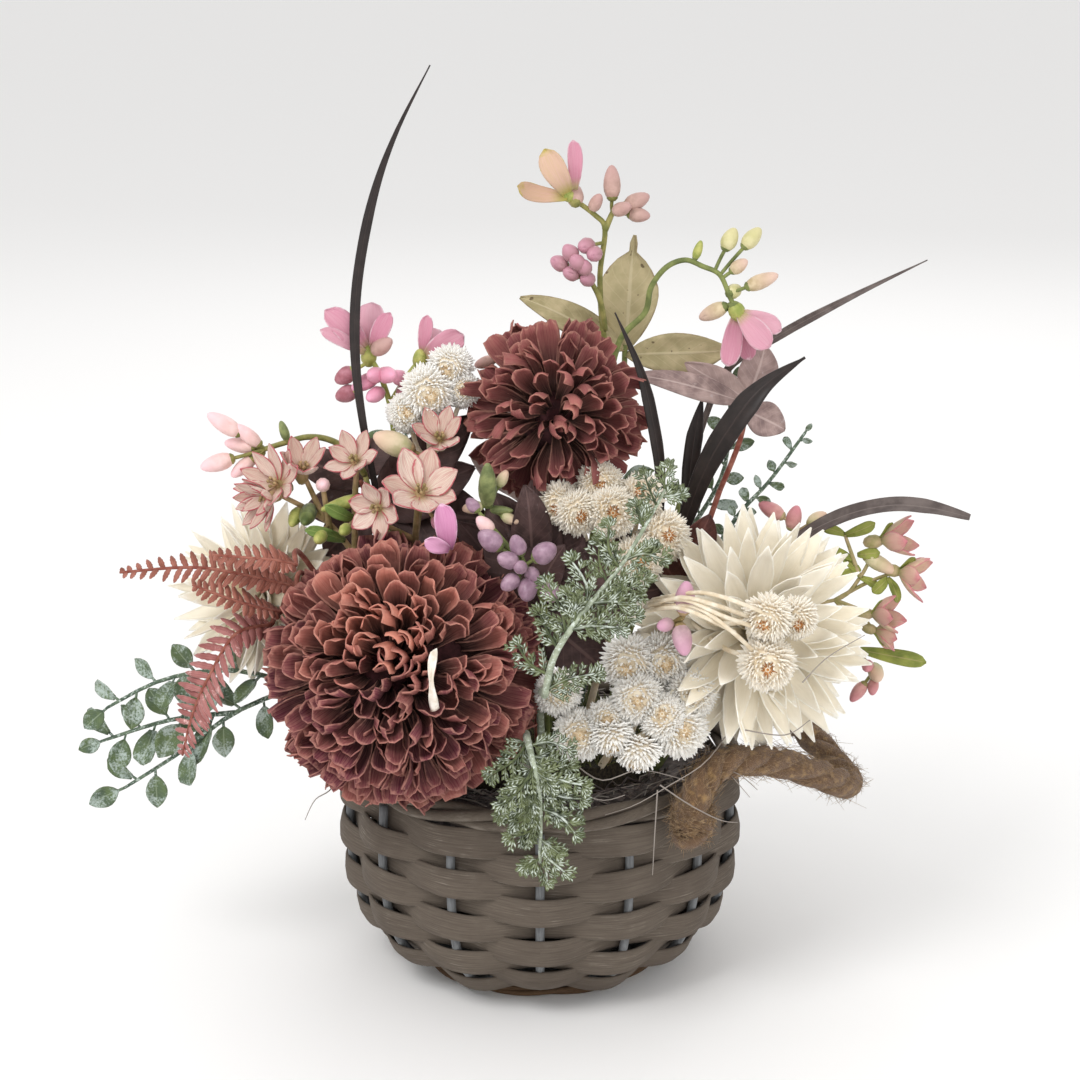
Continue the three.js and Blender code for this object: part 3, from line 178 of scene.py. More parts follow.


# Every plant and what grows on it. Heads are a place and a radius; buds a place, a radius,
# a stretch and a finish; flowers a place, a radius, a number of petals, their width and
# lift, and where they face; leaves a foot, a tip, a width, an arch and a finish. Twigs,
# stalks and ways are the places that they pass, and bends those that the stem passes.
# Of a bloom, heart, sunk and narrow are shares: of its radius, the size of the middle and
# how far out the petals are rooted; of their width, how wide the innermost are. First and
# open are the leans of the first and last petal in degrees, and a crowd below 1 sets more
# of them near the edge. Loose says how uneven they are, and the warmth and light setting how
# far the inner ones take their second colour, the upper ones more, as painted light from above.
PLANTS = [
    planted("bloom_head", "mum_large", "mum", [-54, -52, -58], 2.2, facing=(-0.12, -0.9, 0.4), radius=51.5,
            heart=0.68, petals=560, width=12.4, narrow=0.66, first=0, open=128, crowd=0.6, sunk=0.66,
            cup=0.72, curl=0.16, ragged=0.7, rounding=0.1, loose=1.35, warm=0.95),
    planted("bloom_head", "mum_small", "small_mum", [6, 51, -22], 2, facing=(0.08, -0.98, 0.05), radius=36,
            heart=0.46, petals=165, width=9.6, narrow=0.66, first=2, open=122, crowd=0.64, sunk=0.47,
            cup=0.62, curl=0.18, ragged=1.2, rounding=0.12, loose=1.7, warm=0.65),
    planted("bloom_head", "cream_bloom_right", "cream", [84, -36, -48], 2, facing=(0.22, -0.9, 0.35),
            radius=49, heart=0.16, petals=135, width=13, narrow=0.6, first=8, open=116, crowd=0.62,
            sunk=0.12, cup=0.34, curl=0.07, loose=0.9, warm=0.6, pointed=True),
    planted("bloom_head", "cream_bloom_left", "cream", [-110, -21, -6], 2, facing=(-0.6, -0.65, 0.3),
            radius=38, heart=0.2, petals=90, width=12, narrow=0.6, first=8, open=112, crowd=0.62, sunk=0.12,
            cup=0.34, curl=0.07, loose=0.9, warm=0.6, pointed=True),
    planted("straw_bunch", "straw_flowers_upper", "tan_straw", [30, -26, -32], 1.6,
            heads=[[7, 13, -48, 9], [16, 10, -54, 9], [29, 11, -56, 10], [24, 22, -46, 9], [40, 19, -46, 9],
                [51, 2, -50, 10], [40, -8, -58, 10]]),
    planted("straw_bunch", "straw_flowers_lower", "straw", [30, -82, -44], 1.6,
            heads=[[35, -51, -72, 11], [50, -49, -70, 10], [61, -62, -74, 10], [39, -64, -80, 10],
                [49, -70, -82, 9], [57, -76, -80, 11], [8, -61, -74, 9], [16, -78, -80, 10],
                [27, -72, -80, 8], [29, -82, -82, 8.5, (0.1, -0.55, -0.83)],
                [38, -88, -82, 9, (0, -0.62, -0.78)]]),
    planted("straw_bunch", "straw_flowers_right", "tan_straw", [54, -26, -50], 1.4,
            facing=(-0.1, -0.97, 0.1), heads=[[90, -33, -98, 9], [103, -33, -92, 8], [91, -51, -98, 10.5]],
            stalks=[[[86, -35, -96], [72, -30, -103], [58, -24, -96], [44, -25, -78]],
                [[97, -33, -92], [82, -26, -102], [64, -21, -97], [45, -24, -78]],
                [[86, -45, -94], [76, -36, -105], [62, -27, -98], [43, -26, -78]],
                [[84, -31, -95], [70, -26, -102], [56, -23, -95], [42, -27, -76]],
                [[78, -37, -100], [66, -31, -102], [54, -27, -94], [40, -29, -74]]]),
    planted("straw_bunch", "straw_flowers_left", "straw", [-44, 32, -16], 1.4,
            heads=[[-37, 68, -24, 9], [-44, 58, -30, 11], [-53, 51, -28, 8], [-31, 60, -26, 7]]),
    planted("cedar_sprig", "cedar_centre", "cedar", [2, -62, -90], 1.5, pairs=7, reach=19,
            bends=[[0, -66, -58]], way=[[6, -46, -96], [18, -28, -97], [34, -8, -86], [50, 20, -74]]),
    planted("cedar_sprig", "cedar_hanging", "cedar", [-5, -80, -86], 1.5, pairs=7, reach=19,
            bends=[[-6, -80, -60]], way=[[-3, -88, -97], [0, -104, -102], [0, -129, -99]]),
    planted("fern_frond", "fern_main", "fern", [-98, -19, -46], 1, facing=ABOVE, leaflets=11, width=13,
            bends=[[-89, -20, -30]], way=[[-114, -15, -50], [-138, -11, -52], [-168, -13, -50]]),
    planted("fern_frond", "fern_upper", "fern", [-98, -10, -54], 1, facing=ABOVE, leaflets=7, width=11,
            bends=[[-90, -13, -33]], way=[[-108, -8, -59], [-131, -6, -60]]),
    planted("fern_frond", "fern_lower", "fern", [-104, -29, -48], 1, facing=ABOVE, leaflets=7, width=11,
            bends=[[-91, -26, -27]], way=[[-120, -25, -58], [-139, -18, -61]]),
    planted("fern_frond", "fern_drooping", "pale_fern", [-108, -34, -42], 1, facing=LEFT_FRONT, leaflets=11,
            width=19, bends=[[-95, -34, -22]],
            way=[[-122, -38, -50], [-133, -56, -54], [-139, -70, -52], [-143, -86, -48]]),
    planted("round_leaves", "eucalyptus_left", "eucalyptus", [-96, -58, -16], 1.2, facing=LEFT_FRONT,
            size=16, leaves=5,
            twigs=[[[-96, -58, -16], [-122, -69, -24], [-144, -85, -26], [-166, -99, -28]],
                [[-96, -58, -16], [-124, -52, -22], [-151, -56, -26], [-173, -67, -28]],
                [[-122, -69, -24], [-148, -72, -22], [-174, -80, -22]]]),
    planted("round_leaves", "green_sprig_right", "eucalyptus", [70, -4, 4], 0.9, size=6, leaves=7,
            twigs=[[[70, -4, 4], [80, 11, 4], [92, 24, 4], [106, 43, 2]]]),
    planted("round_leaves", "green_sprig_behind", "eucalyptus", [60, 4, 26], 1, size=10, leaves=6,
            twigs=[[[60, 4, 26], [74, 30, 28], [76, 70, 28]]]),
    planted("leafy_sprig", "purple_leaves_top", "purple", [72, 20, 8], 1.2,
            twigs=[[[72, 20, 8], [80, 40, 6], [83, 56, 6]]],
            leaves=[[[82, 55, 6], [37, 66, -8], 10], [[83, 56, 6], [58, 71, 2], 12],
                [[83, 56, 6], [90, 78, 10], 16], [[82, 52, 6], [98, 44, 2], 14]]),
    planted("leafy_sprig", "purple_leaves_left", "dark_purple", [-66, 12, -2], 1.1,
            twigs=[[[-66, 12, -2], [-72, 24, -4]]],
            leaves=[[[-71, 22, -3], [-100, 34, -2], 15], [[-72, 24, -4], [-60, 42, 0], 13],
                [[-66, 14, -2], [-94, 12, 2], 15], [[-67, 12, -4], [-20, 8, -14], 29],
                [[-66, 12, -3], [-27, 50, -13], 22], [[-68, 12, -4], [-86, -6, -12], 19],
                [[-66, 11, -4], [-26, 29, -15], 22]]),
    planted("leafy_sprig", "purple_leaves_centre", "dark_purple", [-2, -30, -36], 1.1,
            twigs=[[[-2, -30, -36], [-3, -10, -40]]],
            leaves=[[[-3, -10, -40], [-6, 22, -52], 16], [[-2, -22, -38], [10, -2, -50], 13],
                [[-2, -26, -37], [-19, 19, -47], 27], [[0, -26, -38], [10, 18, -41], 27],
                [[0, -28, -38], [50, -19, -42], 26], [[-1, -29, -37], [28, -54, -47], 22],
                [[-1, -28, -37], [-32, 7, -40], 21], [[-1, -26, -38], [-3, 24, -43], 20],
                [[0, -26, -38], [36, 2, -44], 20]]),
    planted("leafy_sprig", "reddish_leaves", "reddish", [56, -22, -30], 1.1,
            twigs=[[[56, -22, -30], [58, -8, -32]]],
            leaves=[[[58, -8, -32], [68, 10, -38], 14], [[56, -20, -31], [46, -2, -40], 13]]),
    planted("leafy_sprig", "olive_leaves", "olive", [33, 44, 20], 1.3, broad_leaf=1,
            twigs=[[[33, 44, 20], [34, 78, 18]]],
            leaves=[[[34, 76, 18], [-8, 97, 10], 13], [[34, 76, 18], [38, 122, 22], 25, 0.05],
                [[34, 74, 18], [76, 76, 14], 16]]),
    planted("long_blade", "blade_tall", "blade", [-64, 12, -22], 1.3, width=3.8,
            way=[[-71, 48, -22], [-74, 76, -20], [-73, 104, -14], [-67, 136, -10], [-58, 162, -8],
                [-44, 190, -6]]),
    planted("long_blade", "blade_middle", "blade", [48, 8, -20], 1.3, width=4.6,
            way=[[48, 28, -26], [45, 48, -28], [40, 68, -28], [30, 91, -24]]),
    planted("long_blade", "blade_wide", "blade", [56, 2, -14], 1.5, width=9.4,
            way=[[66, 28, -20], [78, 48, -22], [90, 62, -20], [106, 73, -12]]),
    planted("long_blade", "blade_short", "blade", [58, 6, -4], 1.3, width=6.5,
            way=[[61, 36, -4], [65, 57, -2]]),
    planted("long_blade", "blade_thin_right", "grey_blade", [62, 36, 20], 1.2, width=3.4,
            way=[[74, 67, 20], [96, 82, 16], [124, 97, 12], [155, 112, 8]]),
    planted("long_blade", "blade_arched", "grey_blade", [84, -14, 10], 1.4, facing=ABOVE, width=7.2,
            blunt=0.4, way=[[104, 1, -2], [122, 10, -8], [140, 14, -14], [156, 13, -18], [172, 9, -22]]),
    planted("flower_spray", "pink_spray_top", "pink_top", [28, 66, 4], 1.2,
            twigs=[[[28, 66, 4], [25, 86, 4], [24, 106, 4], [26, 124, 2], [22, 130, 2], [11, 138, 0]],
                [[26, 124, 2], [29, 131, 3]], [[26, 84, 4], [24, 96, 0], [20, 104, -2]],
                [[28, 66, 4], [6, 72, 4], [-10, 75, 3]]],
            flowers=[[-10, 75, 3, 11, 5, 5.5, 0.9, (-0.1, -0.4, 0.9)]],
            buds=[[-22, 71, 2, 2.4, 1.7], [14, 138, 3, 3.4, 1.5], [22.4, 135, 0, 2.5, 1.5],
                [28.8, 143, 4, 3.5, 1.8], [32.8, 132.5, 0, 2.8, 1.5], [38.8, 135.6, 4, 3.3, 1.5],
                [39.6, 130, 2, 2.9, 1.4], [12, 115, -6, 3.3, 1.05, 4], [18.4, 117.6, -5, 3.3, 1.05, 4],
                [21.6, 114.4, -7, 3.2, 1.05, 4], [7.6, 110.8, -4, 3.2, 1.05, 4],
                [14.8, 111.2, -8, 3.2, 1.05, 4], [17.6, 109.2, -7, 3.1, 1.05, 4],
                [12.4, 106.8, -5, 3.1, 1.05, 4], [18.8, 104.4, -4, 3, 1.2, 4],
                [10.5, 138.5, 0, 2.4, 1.5, 5]],
            leaves=[[[14, 140, 1], [13.2, 160, 2], 6, 0.12], [[11, 138, -1], [2, 156.5, -4], 9.5, 0.2, 6],
                [[11, 137, -2], [-9, 141.5, -6], 7, -0.2, 6]]),
    planted("flower_spray", "pink_spray_arching", "pink_arching", [27, 60, -2], 1.2,
            twigs=[[[27, 60, -2], [32, 80, -4], [42, 91, -5], [44.4, 101, -6], [50.4, 109, -7],
                [58, 112, -7], [65, 109.5, -7], [72, 106, -9], [76, 97, -10], [78.5, 92, -11]]],
            buds=[[76, 120.4, -8, 3.2, 1.35], [84.8, 120.8, -8, 3.1, 1.5], [79.6, 109.6, -10, 2.6, 1.4, 4],
                [88.8, 103.6, -10, 3, 2.1, 4], [77.6, 99.6, -7, 2.9, 1.3], [69.2, 91.2, -8, 3.2, 1.8, 4],
                [63.2, 116, -7, 1.7, 2.1, 5], [79, 91, -11, 3.4, 1.1, 5]],
            leaves=[[[79, 91, -11], [75, 69.5, -13], 8, -0.1], [[80, 91, -12], [96.5, 83.6, -14], 7.5, 0.1],
                [[80, 90, -13], [92, 77, -20], 9.5, 0.1], [[79, 90, -9], [84, 72, -6], 8, -0.1],
                [[80, 90, -10], [90, 80, -4], 8, 0.05]]),
    planted("flower_spray", "pink_spray_left", "pink_left", [-58, 40, -10], 1.1,
            twigs=[[[-58, 40, -10], [-60, 54, -12], [-64, 66, -12], [-68.5, 74, -10]],
                [[-60, 54, -12], [-54, 64, -12], [-48, 72, -10]]],
            buds=[[-63.2, 77.6, -14, 3.3, 1.6], [-78, 65.6, -10, 3.5, 1.2, 4],
                [-77.6, 58.4, -10, 3.5, 1.2, 4], [-70, 63, -16, 3.1, 1.9, 5], [-66, 66, -18, 3.2, 1.9, 5],
                [-61, 66, -19, 3.4, 1.9, 5], [-56.5, 65, -17, 3.1, 1.8, 5], [-66, 58, -19, 3, 1.7, 5],
                [-54, 58.5, -16, 2.8, 1.6, 4], [-68.5, 74, -10, 3.2, 1.2, 1], [-48, 72.5, -10, 3, 1.2, 1]],
            leaves=[[[-69, 75, -9], [-86, 92, -12], 10, 0.2], [[-68, 76, -8], [-67, 95, -3], 11.5, 0.15],
                [[-70, 75, -12], [-88, 84, -18], 5.5, 0.1], [[-67, 76, -11], [-60, 91, -14], 7, 0.15],
                [[-47, 74, -9], [-45, 90, -8], 5.5, 0.1], [[-46, 73, -10], [-30.5, 82, -12], 10, 0.18],
                [[-47, 74, -8], [-40, 84, -2], 7, 0.1]]),
    planted("flower_spray", "pink_spray_far_left", "pink_far", [-70, 26, -8], 1.1,
            twigs=[[[-70, 26, -8], [-76, 35, -12], [-84, 40, -13], [-93, 41.2, -14], [-102.4, 38.8, -15],
                [-110, 36.4, -16]]],
            buds=[[-126.4, 46.4, -18, 3.4, 2.1], [-129.2, 30.8, -20, 3.5, 1.8], [-120, 38, -14, 3, 2],
                [-119, 29, -18, 2.8, 1.9], [-117, 42, -17, 2.8, 2.2], [-114, 33, -14, 2.7, 1.7],
                [-102.4, 43.6, -15, 1.8, 2.2, 4]]),
    planted("flower_spray", "lilac_berries", "lilac", [3, -36, -46], 1,
            twigs=[[[3, -36, -46], [1, -24, -62], [-6, -10, -70]], [[1, -24, -62], [4, -14, -68]]],
            buds=[[-20, 0, -70, 4, 1.2], [-13, -8, -74, 3.4, 1.2], [-9, -2, -71, 3.2, 1.2],
                [2, -5, -72, 4.2, 1.1], [-5, -20, -74, 3.8, 1.2], [4, -21, -72, 3.8, 1.2],
                [-12, -17, -74, 3.2, 1.2], [-8, -11, -75, 2.6, 1.1], [-3, -14, -72, 2.8, 1.1],
                [-27, 14, -62, 2.4, 1.2], [-22, 6, -66, 2.8, 1.4, 4]]),
    planted("flower_spray", "buds_right", "buds_right", [50, -34, -54], 1,
            twigs=[[[50, -34, -54], [52, -34, -80], [57, -31, -89]]],
            buds=[[58, -23, -90, 3.8, 1.6], [57, -40, -92, 3.8, 1.5], [50, -34, -90, 2.6, 1.3]]),
    planted("flower_spray", "green_buds_centre", "green_buds", [-20, 0, -34], 1,
            twigs=[[[-20, 0, -34], [-21, 14, -50]]],
            buds=[[-21, 22, -54, 3.5, 2.8], [-12, 8.4, -52, 2.1, 1.6, 3], [-27, 13, -52, 2.4, 1.6, 3],
                [-15, 24.5, -50, 2.1, 1.6, 3], [-21.5, 5, -52, 1.9, 1.5, 3], [-16, 12, -50, 1.6, 3.2]]),
    planted("flower_spray", "star_blossom", "peach", [-50, -2, -36], 1.1,
            twigs=[[[-50, -2, -36], [-49, 12, -44], [-48, 20, -48]], [[-50, 0, -37], [-66, 8, -42]],
                [[-50, 0, -37], [-46, 24, -36], [-41, 38, -32]]],
            flowers=[[-48, 18, -49, 18, 7, 9.2, 0.62, (0.14, -0.72, 0.68)],
                [-64, 13, -43, 13, 6, 7, 0.5, (-0.5, -0.8, 0.1)],
                [-40, 39.5, -33, 14.5, 7, 5.8, 0.9, (0, -0.7, 0.7)]],
            buds=[[-58.8, 38.8, -36, 4.8, 1.6], [-40, 6, -56, 2.6, 1.6, 4]],
            leaves=[[[-36.4, -4, -60], [-39.6, 14.5, -62], 8.5, 0.15],
                [[-36.4, -4, -62], [-46, 0, -66], 6, 0.15]]),
    planted("flower_spray", "blossom_spray_left", "peach_left", [-74, -6, -26], 1.2,
            twigs=[[[-74, -6, -26], [-86, 8, -24], [-104, 18, -24]], [[-86, 8, -24], [-95, 27, -20]],
                [[-74, -6, -26], [-74, 16, -30], [-73, 32, -27]], [[-84, 4, -26], [-87, 22, -30]]],
            flowers=[[-107.6, 17, -26, 15, 11, 4.6, 0.85, (-0.6, -0.75, -0.1)],
                [-104, 22, -24, 17.5, 10, 5.2, 0.65, (-0.5, -0.7, 0.4)],
                [-95, 27, -22, 15, 6, 6, 1, (0.15, -0.5, 0.8)],
                [-73.6, 31, -27, 13, 7, 5.5, 0.7, (-0.2, -0.7, 0.6)]],
            buds=[[-86.8, 22, -32, 2.8, 1.3], [-93, 10, -30, 3.4, 2.8, 4], [-79, 14.5, -31, 2.6, 3.2, 5],
                [-98, 9, -30, 2.6, 1.8, 5], [-88, 1, -38, 2.6, 1.5, 5], [-78, 4, -40, 2.4, 1.5, 5]],
            leaves=[[[-78, 0, -26], [-94, 4, -40], 5], [[-74, 8, -28], [-86, 14, -38], 5]]),
    planted("flower_spray", "blossom_spray_right", "peach_right", [92, -26, 12], 1.3, facing=RIGHT_FRONT,
            thick=0.62,
            twigs=[[[92, -26, 12], [118, -24, 4], [128, -15, 0], [135, -1, -3]],
                [[118, -24, 4], [131, -17, 0], [143, -12.5, -4]],
                [[118, -24, 4], [126, -27, 0], [132, -29.5, -4]], [[126, -27, 0], [133.5, -36, -4]],
                [[104, -24, 8], [126, -44, 0], [134, -52, -2]], [[104, -24, 8], [106, -2, 4], [101, 7, 2]],
                [[128, -15, 0], [122, 2, 0]], [[118, -24, 4], [124, -32, 0], [122, -38, 0]]],
            flowers=[[135.5, -0.4, -3, 16, 5, 7.2, 1.05, (0.93, -0.3, 0.2)],
                [143, -12.5, -4, 15, 5, 7.2, 0.95, (0.93, -0.35, -0.05)],
                [132, -29.5, -4, 14, 5, 6.6, 1.05, (0.93, -0.35, 0.12)],
                [133.5, -36, -4, 12.5, 5, 6.2, 0.95, (0.9, -0.35, -0.15)]],
            buds=[[92.5, 12, 4, 3.2, 1.7], [101.6, 9, 2, 3.2, 1.5], [111, 8.4, 0, 3, 1.4, 5],
                [136, -9.6, -3, 3.1, 2.2, 5], [134.4, -53.2, -4, 3.3, 1.5, 5], [127.2, -60.8, -2, 2.6, 1.8],
                [133.2, -58.8, -3, 2.3, 1.4], [131, -50.5, -5, 2.4, 1.5]],
            leaves=[[[128, -44, -1], [154.5, -49, -6], 6.4, 0], [[128, -11, 0], [115, -17, 3], 6.5],
                [[122, 2, 0], [134, 7, -3], 5], [[139, -15, -3], [143, -25, -5], 5],
                [[139, -15, -3], [133, -21, -5], 5], [[128, -15, 0], [120, -6, 2], 4],
                [[128, -15, 0], [135, -19, -2], 4], [[127, -6, 0], [136, -5, -4], 4.5],
                [[125, -8, 0], [116, -4, 2], 4], [[122, 2, 0], [113, 5, 2], 4.5],
                [[122, -38, 0], [116, -32, 2], 4], [[132, -30, -4], [137, -24, -7], 3.5],
                [[133, -36, -4], [138, -42, -6], 3.5], [[143, -12.5, -4], [150, -7, -7], 3.5],
                [[135.5, 0, -3], [141, 7, -4], 3.5]]),
    planted("round_leaves", "eucalyptus_back_left", "eucalyptus", [-30, -16, 34], 1.2, facing=REAR, size=19,
            leaves=4,
            twigs=[[[-30, -16, 34], [-46, 14, 48], [-54, 44, 52]],
                [[-30, -16, 34], [-62, -20, 54], [-88, -14, 60]]]),
    planted("round_leaves", "eucalyptus_back_right", "eucalyptus", [26, -16, 36], 1.2, facing=REAR, size=19,
            leaves=4,
            twigs=[[[26, -16, 36], [30, 22, 50], [24, 54, 52]],
                [[26, -16, 36], [52, -18, 56], [76, -16, 64]]]),
    planted("cedar_sprig", "cedar_back", "cedar", [-2, -26, 40], 1.4, facing=REAR, pairs=5, reach=22,
            way=[[-4, -28, 64], [-8, -38, 82]]),
    planted("leafy_sprig", "purple_leaves_back", "purple", [-4, 0, 30], 1.3, facing=REAR,
            twigs=[[[-4, 0, 30], [-6, 20, 40], [-10, 44, 42]]],
            leaves=[[[-5, 14, 38], [-28, 34, 50], 18], [[-6, 20, 40], [14, 40, 52], 18],
                [[-8, 34, 41], [-30, 62, 42], 17], [[-10, 44, 42], [2, 72, 40], 17],
                [[-4, 4, 32], [6, 14, 62], 18], [[-4, 4, 32], [-22, 8, 64], 16]]),
]


# ------------------------------------------------------------------ places and directions
def seen(right, up, depth):
    """The point at this depth that appears this far right of and above the point aimed at."""
    s, c = math.sin(EYE_TILT), math.cos(EYE_TILT)
    rise = up / EYE_DISTANCE
    lift = (up + depth * (rise * c - s)) / (c + rise * s)
    distance = EYE_DISTANCE + depth * c - lift * s
    return Vector((right / EYE_DISTANCE * distance, depth, AIM_HEIGHT + lift))


def seen_path(points):
    return [seen(*point) for point in points]


# What vary() and shade() are multiplied by is how much like pieces differ in that measure.
def vary(index, salt=0):
    """A steady number from -1 to 1 that differs between like pieces."""
    value = math.sin(index * 12.9898 + salt * 78.233) * 43758.5453
    return 2 * (value - math.floor(value)) - 1


def shade(index, salt=0):
    """A steady number from 0 to 1 that differs between like pieces."""
    return 0.5 + 0.5 * vary(index, salt)


def axes(direction, hint=UP):
    """Forward, side and up for something that points in a direction."""
    forward = direction.normalized()
    side = forward.cross(hint)
    if side.length < NEARLY_PARALLEL:
        side = forward.cross(Vector((1, 0, 0)))
    side.normalize()
    return forward, side, side.cross(forward).normalized()


def turned(start, towards, angle):
    """The direction found by turning from start towards another that is square to it."""
    return start * math.cos(angle) + towards * math.sin(angle)


def around(radius, angle, height):
    """A point round the basket: angle 0 is at the front."""
    return Vector((radius * math.sin(angle), -radius * math.cos(angle), height))


def smooth_line(points, steps, ring=False):
    """Points evenly numbered along a Catmull-Rom curve through the given ones."""
    count = len(points)
    spans = count if ring else count - 1
    line = []
    for i in range(steps if ring else steps + 1):
        x = i * spans / steps
        k = min(int(x), spans - 1)
        t = x - k
        if ring:
            a, b, c, d = (points[(k + j) % count] for j in (-1, 0, 1, 2))
        else:
            a, b, c, d = (points[max(0, min(count - 1, k + j))] for j in (-1, 0, 1, 2))
        line.append(0.5 * (2 * b + (c - a) * t + (2 * a - 5 * b + 4 * c - d) * t * t
                           + (3 * b - a - 3 * c + d) * t * t * t))
    return line


def frames_along(line, ring=False):
    """The side and up directions at each point, carried along without twisting."""
    found = []
    up = Vector((0.03, 0.3, 1))
    last = len(line) - 1
    for i in range(len(line)):
        after = line[(i + 1) % len(line)] if ring else line[min(last, i + 1)]
        before = line[i - 1] if ring or i else line[0]
        _, side, up = axes(after - before, up)
        found.append((side, up))
    return found


# ------------------------------------------------------------------ building meshes
class Piece:
    """A mesh that grows in small batches, because each operator goes through its whole mesh."""

    def __init__(self):
        self.closed = []
        self.open_batch()

    def open_batch(self):
        self.bm = bmesh.new()
        self.bm.loops.layers.uv.new("UVMap")
        self.bm.verts.layers.float.new("tone")

    def close_batch(self):
        mesh = bpy.data.meshes.new("batch")
        self.bm.to_mesh(mesh)
        self.bm.free()
        self.closed.append(mesh)
        self.open_batch()

    def batch(self):
        if len(self.bm.verts) > BATCH_SIZE:
            self.close_batch()
        return self.bm

    def whole(self):
        self.close_batch()
        for mesh in self.closed:
            self.bm.from_mesh(mesh)
            bpy.data.meshes.remove(mesh)
        return self.bm


def add_sheet(piece, across, along, place, tone=0.0, slot=0, closed=False):
    """A grid laid by place(s, t): s from -1 to 1 across, t from 0 to 1 along."""
    bm = piece.batch()
    made = bmesh.ops.create_grid(bm, x_segments=across, y_segments=along, size=1.0, calc_uvs=True)
    tones = bm.verts.layers.float["tone"]
    faces = set()
    for vert in made["verts"]:
        vert[tones] = tone
        vert.co = place(vert.co.x, (vert.co.y + 1) / 2)
        faces.update(vert.link_faces)
    for face in faces:
        face.material_index = slot
        face.smooth = True
    if closed:
        bmesh.ops.remove_doubles(bm, verts=made["verts"], dist=1e-5)
    return [vert for vert in made["verts"] if vert.is_valid]


def add_tube(piece, line, radius, sides=6, tone=0.0, slot=0, ring=False, capped=True):
    """A round rod along the line; radius is a number or a function of t."""
    frames = frames_along(line, ring)
    steps = len(line) if ring else len(line) - 1

    def place(s, t):
        i = int(round(t * steps)) % len(line)
        side, up = frames[i]
        return line[i] + turned(side, up, math.pi * s) * (radius(t) if callable(radius) else radius)

    verts = add_sheet(piece, sides, steps, place, tone, slot, closed=True)
    if capped and not ring:
        edges = {e for v in verts for e in v.link_edges if e.is_boundary}
        for face in bmesh.ops.holes_fill(piece.bm, edges=list(edges), sides=sides + 1)["faces"]:
            face.material_index = slot
            face.smooth = True


def add_ball(piece, centre, radius, direction=UP, stretch=1.0, tone=0.0, slot=0, sides=8, rings=6,
             bulge=0.0):
    """A bud or berry: round, drawn out along its direction; bulge moves its middle."""
    forward, side, up = axes(direction)

    def place(s, t):
        lean = math.pi * t
        reach = math.sin(lean) * (1 + bulge * math.cos(lean))
        flat = turned(side, up, math.pi * s)
        return centre + forward * (-math.cos(lean) * radius * stretch) + flat * (reach * radius)

    add_sheet(piece, sides, rings, place, tone, slot, closed=True)


def finish_piece(piece, name, materials, nodes=(), thickness=0.0, body="root"):
    """Scales the piece to metres, links it, gives it its finishes and thickness, hangs it from its body and
    hides the solids that it stands for.
    """
    bm = piece.whole()
    bmesh.ops.scale(bm, vec=(MM, MM, MM), verts=bm.verts)
    bmesh.ops.recalc_face_normals(bm, faces=bm.faces)
    mesh = bpy.data.meshes.new(name)
    bm.to_mesh(mesh)
    bm.free()
    thing = bpy.data.objects.new(name, mesh)
    bpy.context.scene.collection.objects.link(thing)
    for material in materials:
        mesh.materials.append(material)
    if thickness:
        solid = thing.modifiers.new("thickness", "SOLIDIFY")
        solid.thickness = thickness * MM
        solid.offset = 0
    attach(thing, body)
    if nodes:
        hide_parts(*nodes)
    return thing


